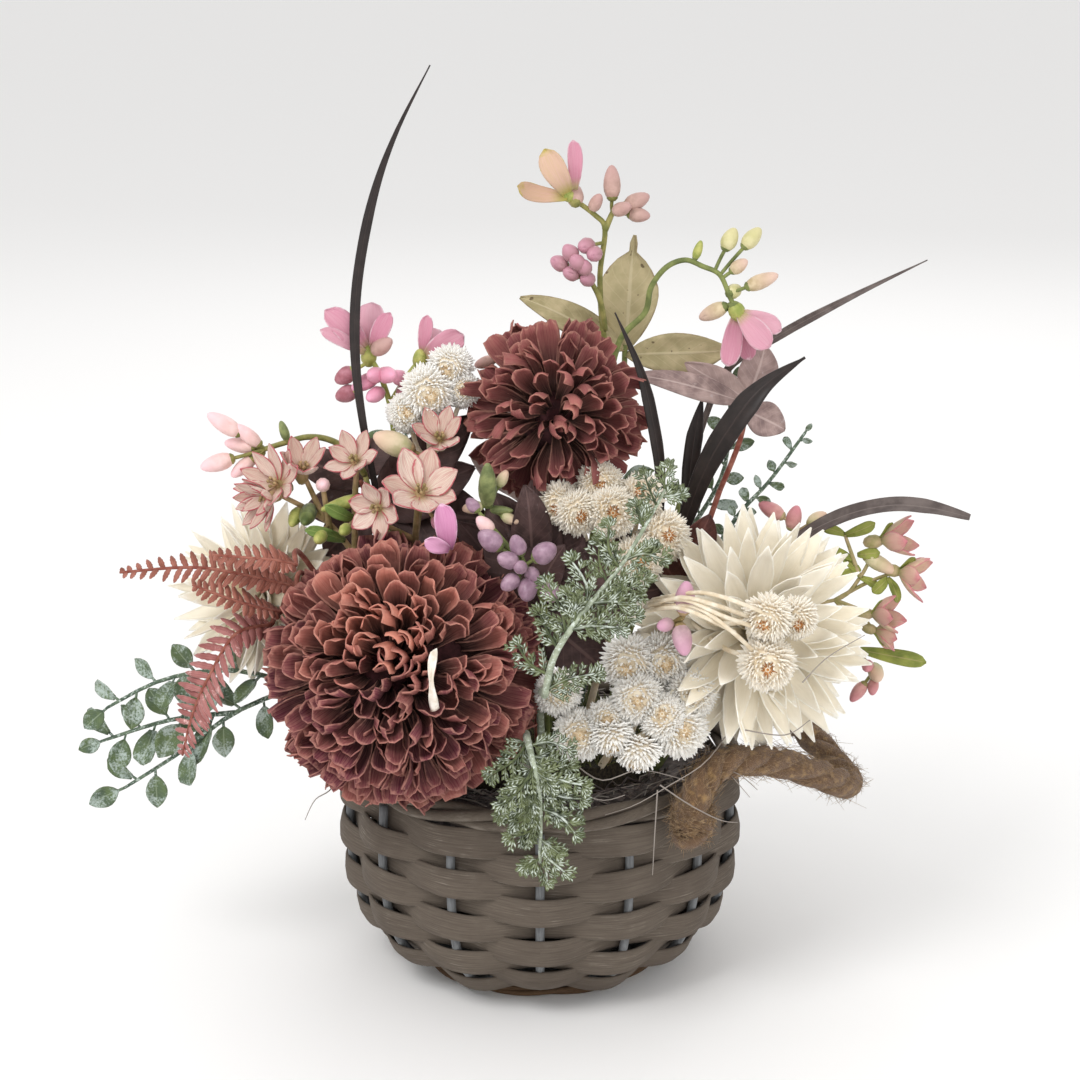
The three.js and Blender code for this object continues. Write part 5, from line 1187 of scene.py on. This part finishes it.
def add_fibre(piece, start, direction, length, seed, radius=0.11, slot=0, bow=0.3):
    """A hair or fine twig: a curved thread of three sides."""
    forward, side, up = axes(direction)
    bend = (side * vary(seed, 21) + up * vary(seed, 22)) * (length * bow)
    middle = start + forward * (length * 0.5) + bend * 0.5
    line = smooth_line([start, middle, start + forward * length + bend], 3)
    add_tube(piece, line, lambda t: radius * (1 - 0.6 * t), 3, tone=shade(seed, 23), slot=slot, capped=False)


def rope_handle(piece, basket):
    """Jute rope: three strands laid together, felted over with loose fibres, and two knots."""
    thick = basket.rope_diameter / MM / 2
    line = smooth_line([Vector(point) for point in ROPE_WAY], ROPE_STEPS)
    frames = frames_along(line)
    for strand in range(ROPE_STRANDS):
        twisted = []
        for i, point in enumerate(line):
            turn = 2 * math.pi * (ROPE_TWISTS * i / ROPE_STEPS + strand / ROPE_STRANDS)
            twisted.append(point + turned(*frames[i], turn) * (thick * 0.38))
        add_tube(piece, twisted, thick * 0.62, 10, tone=0.5)
    for i in range(ROPE_FIBRES):
        k = int((0.5 + 0.499 * vary(i, 31)) * (ROPE_STEPS - 1))
        out = turned(*frames[k], math.pi * vary(i, 32))
        along = (line[k + 1] - line[k]).normalized() * (1 if i % 2 else -1)
        lift = 0.1 + 0.42 * max(0.0, vary(i, 33)) ** 5
        around_way = out.cross(along) * 0.7 * vary(i, 34)
        start = line[k] + out * (thick * 0.9)
        add_fibre(piece, start, along + around_way + out * lift, 7 + 4 * vary(i, 35), i, slot=1)
    for end, inner in ((0, 1), (-1, -2)):
        way = (line[inner] - line[end]).normalized()
        add_knot(piece, line[end] + way * KNOT_ABOVE_END, way, KNOT_RADIUS)


def add_knot(piece, centre, direction, radius):
    """Coils of rope laid slantwise over each other, with short fuzz and a frayed end."""
    forward, side, up = axes(direction)
    rim_way = UP.cross(Vector((centre.x, centre.y, 0))).normalized()
    add_ball(piece, centre, radius * 0.62, UP, 1.2, sides=14, rings=10)
    for k in range(KNOT_COILS):
        level = k - (KNOT_COILS - 1) / 2
        normal = (UP * 0.8 + rim_way * (0.65 + 0.25 * vary(k, 3)) * (1 if k % 3 else -1)).normalized()
        _, a, b = axes(normal, rim_way)
        middle = centre + UP * (radius * 0.42 * level) + rim_way * (radius * 0.12 * vary(k, 4))
        reach = radius * (0.66 - 0.05 * abs(level))
        loop = [middle + turned(a, b, 2 * math.pi * j / KNOT_STEPS) * reach for j in range(KNOT_STEPS)]
        add_tube(piece, loop, radius * 0.27, 9, ring=True)
    for i in range(KNOT_FIBRES):
        out = turned(forward, turned(side, up, math.pi * vary(i, 42)), math.acos(vary(i, 41)))
        skim = out.cross(UP + rim_way * vary(i, 43)).normalized() * (1 if i % 2 else -1)
        start = centre + out * (radius * 0.9) + UP * (out.z * radius * 0.15)
        way = skim + out * 0.22 * max(0.0, vary(i, 44))
        add_fibre(piece, start, way, 4.6 + 2 * vary(i, 46), i + 500, slot=1, bow=0.4)
    for i in range(FRAYED_FIBRES):
        end = centre - forward * (radius * 0.7) + (side * vary(i, 47) + up * vary(i, 48)) * (radius * 0.4)
        way = -forward + side * 0.5 * vary(i, 49) + up * 0.5 * vary(i, 50)
        add_fibre(piece, end, way, 4.0 + 1.5 * vary(i, 51), i + 900, radius=0.16, slot=1)


def twig_nest(piece):
    """Fine dark twigs coiled round the basket's mouth over a matted ring."""
    corners = len(NEST_PROFILE)

    def place(s, t):
        k = (s + 1) / 2 * corners
        i = int(k) % corners
        r0, z0 = NEST_PROFILE[i]
        r1, z1 = NEST_PROFILE[(i + 1) % corners]
        part = k - int(k)
        rough = 0.7 * math.sin(37 * t * 2 * math.pi + 3 * s) * vary(i, 7)
        return around(r0 + (r1 - r0) * part + rough, 2 * math.pi * t, z0 + (z1 - z0) * part)

    add_sheet(piece, 10, 72, place, 0.2, closed=True)
    for i in range(NEST_TWIGS):
        angle = 2 * math.pi * i / NEST_TWIGS * NEST_ROUNDS
        sweep = (0.35 + 0.2 * vary(i, 1)) * (1 if i % 3 else -1)
        line = []
        for k in range(5):
            x = k / 4
            wander = 2.2 * vary(i * 5 + k, 2)
            radius = NEST_RADIUS + 9 * vary(i, 3) + wander + 3 * (x - 0.5) * vary(i, 8)
            height = NEST_TOP + 3.2 * vary(i, 4) + 3.0 * vary(i * 5 + k, 5)
            line.append(around(radius, angle + sweep * x, height))
        add_tube(piece, smooth_line(line, 8), 0.34 + 0.16 * vary(i, 6), 4, tone=shade(i, 7), capped=False)
    for way in LOOSE_HAIRS:
        line = smooth_line(seen_path(way), 14)
        add_tube(piece, line, lambda t: 0.3 - 0.16 * t, 4, tone=1.0, capped=False)


def moss_cover(piece):
    """Short curled moss over the foam."""
    for i in range(MOSS_TUFTS):
        radius = MOSS_RADIUS * math.sqrt((i + 0.5) / MOSS_TUFTS)
        base = around(radius, i * GOLDEN_ANGLE, MOSS_TOP - MOSS_SLOPE * radius)
        for k in range(3):
            seed = i * 3 + k
            way = Vector((vary(seed, 1), vary(seed, 2), 0.7 + 0.5 * vary(seed, 3)))
            add_fibre(piece, base, way, 4.2 + 1.6 * vary(seed, 4), seed, radius=0.42, bow=0.6)


# ------------------------------------------------------------------ sizes and colours to change
def colour_property(name, description, text):
    return FloatVectorProperty(name=name, description=description, subtype="COLOR", size=3,
                               min=0.0, max=1.0, default=rgb(text))


class BasketSizes(bpy.types.PropertyGroup):
    strip_height: FloatProperty(name="Strip height", description="Height of a willow strip",
                                default=10.4 * MM, min=7 * MM, max=11 * MM, unit="LENGTH")
    strip_thickness: FloatProperty(name="Strip thickness", description="Thickness of a willow strip",
                                   default=1.4 * MM, min=0.8 * MM, max=1.6 * MM, unit="LENGTH")
    rope_diameter: FloatProperty(name="Rope diameter", description="Diameter of the jute handle",
                                 default=12.4 * MM, min=9 * MM, max=13 * MM, unit="LENGTH")
    willow: colour_property("Willow", "Weathered face of the strips", "6D6358")
    willow_dark: colour_property("Dark willow", "Hollows and grain of the strips", "4A4038")
    stake: colour_property("Stake", "Blue-grey paint of the upright stakes", "747678")
    brown_willow: colour_property("Brown willow", "Thin border round the foot", "6A5038")
    jute: colour_property("Jute", "Rope of the handle", "86674A")
    twig: colour_property("Nest twigs", "Fine twigs in the basket's mouth", "6E625E")


class FlowerColours(bpy.types.PropertyGroup):
    petal_thickness: FloatProperty(name="Petal thickness", description="Thickness of petals and leaves",
                                   default=0.45 * MM, min=0.3 * MM, max=0.8 * MM, unit="LENGTH")
    dusky_red: colour_property("Dusky red", "Outer petals of the large mum", "6C2A3C")
    dusty_rose: colour_property("Dusty rose", "Petals of the small mum", "824347")
    terracotta: colour_property("Terracotta", "Middle petals of the large mum", "DE8D78")
    ivory: colour_property("Ivory", "Pointed petals of the pale blooms", "F0E6D0")
    straw: colour_property("Straw", "Bracts of the straw flowers", "EFE6D8")
    frost: colour_property("Frost", "White powder on cedar and eucalyptus", "D3DCD2")
    fern: colour_property("Fern", "Rose-brown fern fronds", "A66A5B")
    leaf: colour_property("Leaf green", "Stems and green leaves", "5F7048")
    purple: colour_property("Dusky purple", "Broad purple leaves", "B29A94")
    blade: colour_property("Dark blade", "Long dark strap leaves", "2F2624")
    pink: colour_property("Pink", "Petals of the pink sprays", "C27890")
    peach: colour_property("Peach", "Petals of the star blossoms", "D8C6B4")


# ------------------------------------------------------------------ every finish
def colour_of(name):
    """The panel's colour of this name, or else one written in hexadecimal."""
    for group in (bpy.context.scene.basket_sizes, bpy.context.scene.flower_colours):
        if name in group.bl_rna.properties:
            return tuple(getattr(group, name))
    return rgb(name)


# Each finish: its maker, its colours in the maker's order, and its other settings.
FINISHES = {
    "willow": (willow_material, "willow_dark willow A79E92"),
    "willow_rod": (willow_material, "willow_dark willow A79E92", dict(stretch=(0.5, 5, 1))),
    "stake": (stake_material, "stake"),
    "brown_willow": (willow_material, "3B2C20 brown_willow 8A7358", dict(stretch=(0.5, 5, 1))),
    "jute": (jute_material, "4E3520 jute A98758"),
    "jute_fibre": (plain_material, "6E5238 B49873", dict(scale=500, roughness=0.9, bump=0)),
    "foam": (plain_material, "231E19 4A4234", dict(scale=900, roughness=1, bump=0.8)),
    "moss": (plain_material, "4B5230 7D7C4C", dict(scale=260, roughness=0.95)),
    "dark_twig": (twig_material, "362D2B twig 978E86"),
    # The mums' near-black foot colours, 120308 and 1C080A, are painted shade between their crowded petals.
    "dusky_red_petal": (petal_material, "dusky_red terracotta 120308 D49A88", dict(edge_at=0.86,
        tip_at=0.92, sheen=0, deep_to=1.18, cloud=0.45, rim_strength=0.42)),
    "dusty_rose_petal": (petal_material, "dusty_rose B36C66 1C080A C08F7C", dict(edge_at=0.88, tip_at=0.94,
        sheen=0, deep_to=1, cloud=0.25, rim_strength=0.4)),
    # The mums' near-black middle is painted shade, seen in the gaps between their petals.
    "mum_heart": (plain_material, "2B1315 4A2629", dict(scale=300, roughness=0.95)),
    "paper": (plain_material, "E3D6C4 F7F1E8", dict(scale=300, roughness=0.8)),
    "ivory_petal": (petal_material, "ivory FBF6EA D9C79F FFFCF3", dict(edge_at=0.9, tip_at=0.9, veins=40,
        roughness=0.6, deep_to=0.5, cloud=0.06)),
    "ivory_heart": (plain_material, "BFA97C E2D3AE", dict(scale=300, roughness=0.95)),
    # The white straw bracts' tan foot colour is partly their own and partly painted shade among the crowded
    # bracts.
    "straw_petal": (petal_material, "straw FFFCF6 BFA584 FFFEFA", dict(edge_at=0.62, tip_at=0.7,
        roughness=0.75, deep_to=0.6, cloud=0.02)),
    "tan_straw_petal": (petal_material, "F2E2C8 FFF6E6 BE8448 FFFAEE", dict(edge_at=0.7, tip_at=0.75,
        roughness=0.75, deep_to=0.5, cloud=0.03)),
    "straw_middle": (plain_material, "C3A276 E2CFAE", dict(scale=700, roughness=0.9)),
    "tan_middle": (plain_material, "9A6232 CB9158", dict(scale=700, roughness=0.9)),
    "straw_stem": (plain_material, "D8C6A8 F0E6D2", dict(scale=200, roughness=0.8)),
    "frosted_cedar": (leaf_material, "36402A 727B52 frost frost", dict(frost_share=0.05, veins=False,
        grit=600, white_ribs=True)),
    "frosted_stem": (plain_material, "87917A B4BDA6", dict(scale=260, roughness=0.7, frost="frost")),
    "rose_fern": (leaf_material, "7C4434 fern 5A2C20", dict(edge="B98479", veins=False)),
    "frosted_fern": (leaf_material, "8C4E4A B07672 7A4440 DDB8B2", dict(frost_share=0.25, edge="C98D88",
        veins=False)),
    "fern_rib": (plain_material, "7E3F33 A56A5A", dict(scale=260)),
    "green_leaf": (leaf_material, "44544A leaf 93A086 A9B6AE", dict(frost_share=0.75, grit=1100)),
    "green_stem": (plain_material, "5F693A 889054", dict(scale=220, roughness=0.6)),
    "dull_stem": (plain_material, "3F5244 6C7D66", dict(scale=260, roughness=0.65, frost="B9C6BC")),
    "purple_leaf": (leaf_material, "75605E purple CDB8B2 B5A5A2", dict(frost_share=0.2)),
    "dark_purple_leaf": (leaf_material, "32211F 5E4745 7A605C 6B5C5E", dict(frost_share=0.1)),
    "reddish_leaf": (leaf_material, "3B211F 653C37 7F5650"),
    "olive_leaf": (leaf_material, "968C64 BFB18B D2C6A4", dict(spots="5A4A34", edge="7A6040", edge_at=0.93)),
    "dark_blade": (leaf_material, "181312 blade 3F3431", dict(veins=False, roughness=0.45)),
    "grey_blade": (leaf_material, "3F3533 6E635F 857A75", dict(veins=False)),
    "pink_petal": (petal_material, "pink D6A2B0 A89C60 DFC0C8", dict(edge_at=0.92, tip_at=0.95,
        roughness=0.55, deep_to=0.3, cloud=0.03)),
    "magenta_petal": (petal_material, "C678A4 E0A2C6 A85A88 EEC4DA", dict(edge_at=0.9, tip_at=0.94,
        roughness=0.55, deep_to=0.3, cloud=0.05)),
    "pink_bud": (bud_material, "BE7C8C DB98AC E4A0B8"),
    "pink_berry": (bud_material, "9A6F72 B68B90 C08A9A", dict(roughness=0.4)),
    "dark_pink_bud": (bud_material, "9C5C66 C08490"),
    "blush_bud": (bud_material, "DDB7AE F2D3CE F3C9CE"),
    "beige_bud": (bud_material, "B7A37C D8C6A4 D9B9AA"),
    "cream_bud": (bud_material, "B9B57C DBD3A6 CFC795"),
    "cream_green_bud": (bud_material, "B3B482 D8CDAA D9B9A2"),
    "dusky_bud": (bud_material, "B9807C D9A69E CF8890"),
    "taupe_bud": (bud_material, "A5877A C9A79C BC9690", dict(roughness=0.55)),
    "lilac_berry": (bud_material, "8C6D80 B797A8", dict(roughness=0.3)),
    "lilac_pink_bud": (bud_material, "A98C90 CDAFB4 CB98AE", dict(roughness=0.45)),
    "green_bud": (bud_material, "646F45 959D66"),
    "deep_green_bud": (bud_material, "4C5B2E 7E8C4C", dict(roughness=0.45)),
    "green_cup": (bud_material, "8A9648 BDBB6E"),
    "fresh_leaf": (leaf_material, "56743A 829A50 A9BB70"),
    "olive_stem": (plain_material, "6E7038 9C9458", dict(scale=220, roughness=0.6)),
    "pale_olive_stem": (plain_material, "8E8A52 BFA986", dict(scale=220, roughness=0.6)),
    "olive_green_leaf": (leaf_material, "66742F 9AA04E B7A878"),
    "blush_stem": (plain_material, "8A7A4C B89A74", dict(scale=220, roughness=0.6)),
    "peach_petal": (petal_material, "peach EADFCF A2985C BA5660", dict(edge_at=0.87, tip_at=0.93, veins=30,
        roughness=0.6, deep_to=0.35, cloud=0.05, veined=0.6, rim_strength=0.95)),
    "blush_petal": (petal_material, "D2A99A D9C6A2 8F9A55 CB7482", dict(edge_at=0.8, tip_at=0.7, veins=24,
        roughness=0.6, deep_to=0.6, cloud=0.05, veined=0.3)),
    "tan_pink_petal": (petal_material, "C09783 D3B09F A59C4C B3A53C", dict(edge_at=1.01, tip_at=0.84,
        veins=24, roughness=0.55, deep_to=0.35, cloud=0.05)),
}


def finish(name):
    """The material of that name, made the first time that it's asked for."""
    full_name = name + "_finish"
    made = bpy.data.materials.get(full_name)
    if made is None:
        maker, colours, *rest = FINISHES[name]
        settings = {key: colour_of(value) if isinstance(value, str) else value
                    for key, value in (rest[0] if rest else {}).items()}
        made = maker(full_name, *[colour_of(colour) for colour in colours.split()], **settings)
    return made


# What each kind of plant is dressed in: petal or leaf, second finish, third and fourth.
DRESS = {
    "mum": ("dusky_red_petal", "mum_heart", "green_stem", "paper"),
    "small_mum": ("dusty_rose_petal", "mum_heart", "green_stem"),
    "cream": ("ivory_petal", "ivory_heart", "green_stem"),
    "straw": ("straw_petal", "straw_middle", "straw_stem"),
    "tan_straw": ("tan_straw_petal", "tan_middle", "straw_stem"),
    "cedar": ("frosted_cedar", "frosted_stem"),
    "fern": ("rose_fern", "fern_rib"),
    "pale_fern": ("frosted_fern", "fern_rib"),
    "eucalyptus": ("green_leaf", "dull_stem"),
    "purple": ("purple_leaf", "fern_rib"),
    "dark_purple": ("dark_purple_leaf", "fern_rib"),
    "reddish": ("reddish_leaf", "fern_rib"),
    "olive": ("olive_leaf", "green_stem"),
    "blade": ("dark_blade", "green_stem"),
    "grey_blade": ("grey_blade", "green_stem"),
    "pink_top": ("peach_petal", "olive_stem", "taupe_bud", "pink_petal", "pink_berry", "green_cup",
                 "tan_pink_petal"),
    "pink_arching": ("pink_petal", "green_stem", "cream_bud", "pink_petal", "beige_bud", "green_cup"),
    "pink_left": ("pink_petal", "green_cup", "taupe_bud", "pink_petal", "dark_pink_bud", "pink_bud"),
    "pink_far": ("pink_petal", "olive_stem", "blush_bud", "pink_petal", "green_bud"),
    "lilac": ("pink_petal", "green_stem", "lilac_berry", "pink_petal", "blush_bud"),
    "buds_right": ("pink_petal", "blush_stem", "lilac_pink_bud"),
    "green_buds": ("green_leaf", "green_stem", "green_bud", "cream_green_bud"),
    "peach": ("peach_petal", "blush_stem", "cream_green_bud", "magenta_petal", "pink_bud"),
    "peach_left": ("peach_petal", "blush_stem", "blush_bud", "fresh_leaf", "deep_green_bud", "green_cup"),
    "peach_right": ("blush_petal", "pale_olive_stem", "dusky_bud", "olive_green_leaf", "deep_green_bud",
                    "cream_green_bud"),
}

SHAPES = {
    "bloom_head": bloom_head,
    "straw_bunch": straw_bunch,
    "cedar_sprig": cedar_sprig,
    "fern_frond": fern_frond,
    "leafy_sprig": leafy_sprig,
    "round_leaves": round_leaves,
    "long_blade": long_blade,
    "flower_spray": flower_spray,
}


# ------------------------------------------------------------------ operators
def dress_plants(*kinds):
    """Makes every plant of these kinds on its own stem, in its own hole."""
    holes = spread_holes()
    thickness = bpy.context.scene.flower_colours.petal_thickness / MM
    for plant, hole in zip(PLANTS, holes):
        if plant["kind"] not in kinds:
            continue
        materials = [finish(name) for name in DRESS[plant["dress"]]]
        piece = Piece()
        SHAPES[plant["kind"]](piece, plant)
        stem_slot = 2 if plant["kind"] in ("bloom_head", "straw_bunch") else 1
        add_stem(piece, plant, hole, stem_slot)
        thing = finish_piece(piece, plant["name"] + "_dressed", materials, (plant["name"],), thickness)


class FLOWERBASKET_OT_woven_wall(bpy.types.Operator):
    """Weave the nine strips of split willow"""

    bl_idname = "flowerbasket.woven_wall"
    bl_label = "Woven wall"

    def execute(self, context):
        for row in range(ROWS):
            piece = Piece()
            weave_strip(piece, row, context.scene.basket_sizes)
            node = f"weave_strip_{row + 1}"
            thing = finish_piece(piece, node + "_willow", [finish("willow")], (node,))
        return {"FINISHED"}


class FLOWERBASKET_OT_base_and_stakes(bpy.types.Operator):
    """Make the board and the stakes that stand in it"""

    bl_idname = "flowerbasket.base_and_stakes"
    bl_label = "Base and stakes"

    def execute(self, context):
        piece = Piece()
        bm = piece.batch()
        made = bmesh.ops.create_cone(
            bm, cap_ends=True, segments=64, radius1=BOARD_RADIUS, radius2=BOARD_RADIUS,
            depth=BOARD_THICKNESS, matrix=Matrix.Translation((0, 0, BOARD_THICKNESS / 2)))
        edges = {edge for vert in made["verts"] for edge in vert.link_edges if len(edge.link_faces) == 2
                 and edge.calc_face_angle(0) > 1}
        bmesh.ops.bevel(bm, geom=list(edges), offset=BOARD_BEVEL, segments=3, profile=0.5,
                        affect="EDGES", material=-1)
        for i in range(STAKES):
            angle = 2 * math.pi * i / STAKES
            line = [around(r, angle, z) for r, z in [STAKE_FOOT] + WALL[1:]]
            add_tube(piece, smooth_line(line, 30), STAKE_RADIUS, 10, tone=0.5 + 0.5 * vary(i))
        thing = finish_piece(piece, "board_and_stakes", [finish("stake")], ("base_and_stakes",))
        return {"FINISHED"}


class FLOWERBASKET_OT_borders(bpy.types.Operator):
    """Twist the rim border and the thin border round the foot"""

    bl_idname = "flowerbasket.borders"
    bl_label = "Borders"

    def execute(self, context):
        piece = Piece()
        twisted_ring(piece, RIM_RADIUS, RIM_HEIGHT, 2.6, 2.25, 3, RIM_TURNS, 140)
        thing = finish_piece(piece, "twisted_rim", [finish("willow_rod")], ("rim_border",))
        piece = Piece()
        twisted_ring(piece, BOARD_RADIUS + 2.3, 2.1, 0.9, 1.1, 2, BORDER_TURNS, 120)
        thing = finish_piece(piece, "twisted_foot", [finish("brown_willow")], ("bottom_border",))
        return {"FINISHED"}


class FLOWERBASKET_OT_rope(bpy.types.Operator):
    """Lay the jute rope and tie its knots"""

    bl_idname = "flowerbasket.rope"
    bl_label = "Rope handle"

    def execute(self, context):
        piece = Piece()
        rope_handle(piece, context.scene.basket_sizes)
        thing = finish_piece(piece, "jute_handle", [finish("jute"), finish("jute_fibre")], ("rope_handle",))
        return {"FINISHED"}


class FLOWERBASKET_OT_filling(bpy.types.Operator):
    """Finish the foam, cover it with moss and coil the twig nest round it"""

    bl_idname = "flowerbasket.filling"
    bl_label = "Foam, moss and nest"

    def execute(self, context):
        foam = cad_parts["foam_block"]
        foam.data.materials.clear()
        foam.data.materials.append(finish("foam"))
        piece = Piece()
        moss_cover(piece)
        finish_piece(piece, "moss_over_foam", [finish("moss")])
        piece = Piece()
        twig_nest(piece)
        finish_piece(piece, "nest_of_twigs", [finish("dark_twig")], ("twig_nest",))
        return {"FINISHED"}


class FLOWERBASKET_OT_blooms(bpy.types.Operator):
    """Make the two mums and the two ivory blooms"""

    bl_idname = "flowerbasket.blooms"
    bl_label = "Large blooms"

    def execute(self, context):
        dress_plants("bloom_head")
        return {"FINISHED"}


class FLOWERBASKET_OT_straw_flowers(bpy.types.Operator):
    """Make the bunches of straw flowers"""

    bl_idname = "flowerbasket.straw_flowers"
    bl_label = "Straw flowers"

    def execute(self, context):
        dress_plants("straw_bunch")
        return {"FINISHED"}


class FLOWERBASKET_OT_greenery(bpy.types.Operator):
    """Make the cedar, the ferns and the small-leaved sprigs"""

    bl_idname = "flowerbasket.greenery"
    bl_label = "Cedar, ferns and sprigs"

    def execute(self, context):
        dress_plants("cedar_sprig", "fern_frond", "round_leaves")
        return {"FINISHED"}


class FLOWERBASKET_OT_leaves(bpy.types.Operator):
    """Make the broad leaves and the long dark blades"""

    bl_idname = "flowerbasket.leaves"
    bl_label = "Leaves and blades"

    def execute(self, context):
        dress_plants("leafy_sprig", "long_blade")
        return {"FINISHED"}


class FLOWERBASKET_OT_sprays(bpy.types.Operator):
    """Make the sprays of pink flowers, blossoms, buds and berries"""

    bl_idname = "flowerbasket.sprays"
    bl_label = "Flower sprays"

    def execute(self, context):
        dress_plants("flower_spray")
        return {"FINISHED"}


class FLOWERBASKET_OT_stage(bpy.types.Operator):
    """Set the pale floor, the soft studio light and the camera"""

    bl_idname = "flowerbasket.stage"
    bl_label = "Stage"

    def execute(self, context):
        scene = context.scene
        scene.view_settings.view_transform = "Standard"
        bm = bmesh.new()
        bmesh.ops.create_grid(bm, x_segments=2, y_segments=2, size=FLOOR_HALF_SIZE)
        mesh = bpy.data.meshes.new("pale_floor")
        bm.to_mesh(mesh)
        bm.free()
        floor = bpy.data.objects.new("pale_floor", mesh)
        scene.collection.objects.link(floor)
        shader = Shader("pale_floor", 0.9)
        shader.colour(rgb("F8F7F6"))
        mesh.materials.append(shader.material)
        world = bpy.data.worlds.new("studio")
        scene.world = world
        world.use_nodes = True
        world.node_tree.nodes["Background"].inputs["Color"].default_value = (1.0, 1.0, 1.0, 1)
        world.node_tree.nodes["Background"].inputs["Strength"].default_value = SKY_STRENGTH
        for name, place, size, power in STUDIO_LIGHTS:
            light = bpy.data.lights.new(name, "AREA")
            light.size = size
            light.energy = power
            lamp = bpy.data.objects.new(name, light)
            lamp.location = place
            lamp.rotation_euler = (LIGHTS_AIM_AT - lamp.location).to_track_quat("-Z", "Y").to_euler()
            scene.collection.objects.link(lamp)
        lens = bpy.data.cameras.new("camera")
        lens.lens = CAMERA_LENS
        lens.sensor_width = CAMERA_SENSOR
        camera = bpy.data.objects.new("camera", lens)
        aim = Vector((0, 0, AIM_HEIGHT * MM))
        back = Vector((0, -math.cos(EYE_TILT), math.sin(EYE_TILT)))
        camera.location = aim + back * (EYE_DISTANCE * MM)
        camera.rotation_euler = (-back).to_track_quat("-Z", "Y").to_euler()
        scene.collection.objects.link(camera)
        scene.camera = camera
        return {"FINISHED"}


OPERATORS = (
    FLOWERBASKET_OT_woven_wall,
    FLOWERBASKET_OT_base_and_stakes,
    FLOWERBASKET_OT_borders,
    FLOWERBASKET_OT_rope,
    FLOWERBASKET_OT_filling,
    FLOWERBASKET_OT_blooms,
    FLOWERBASKET_OT_straw_flowers,
    FLOWERBASKET_OT_greenery,
    FLOWERBASKET_OT_leaves,
    FLOWERBASKET_OT_sprays,
    FLOWERBASKET_OT_stage,
)


class FLOWERBASKET_PT_panel(bpy.types.Panel):
    bl_label = "Flower basket"
    bl_idname = "FLOWERBASKET_PT_panel"
    bl_space_type = "VIEW_3D"
    bl_region_type = "UI"
    bl_category = "Flower basket"

    def draw(self, context):
        for group in (context.scene.basket_sizes, context.scene.flower_colours):
            for key in group.bl_rna.properties.keys():
                if key not in ("rna_type", "name"):
                    self.layout.prop(group, key)
        for operator in OPERATORS:
            self.layout.operator(operator.bl_idname)


def register():
    for item in (BasketSizes, FlowerColours, *OPERATORS, FLOWERBASKET_PT_panel):
        bpy.utils.register_class(item)
    bpy.types.Scene.basket_sizes = PointerProperty(type=BasketSizes)
    bpy.types.Scene.flower_colours = PointerProperty(type=FlowerColours)


def unregister():
    del bpy.types.Scene.flower_colours
    del bpy.types.Scene.basket_sizes
    for item in (FLOWERBASKET_PT_panel, *reversed(OPERATORS), FlowerColours, BasketSizes):
        bpy.utils.unregister_class(item)


def main():
    bpy.context.view_layer.update()
    register()
    for operator in OPERATORS:
        getattr(bpy.ops.flowerbasket, operator.bl_idname.split(".")[1])()


if __name__ == "__main__":
    main()
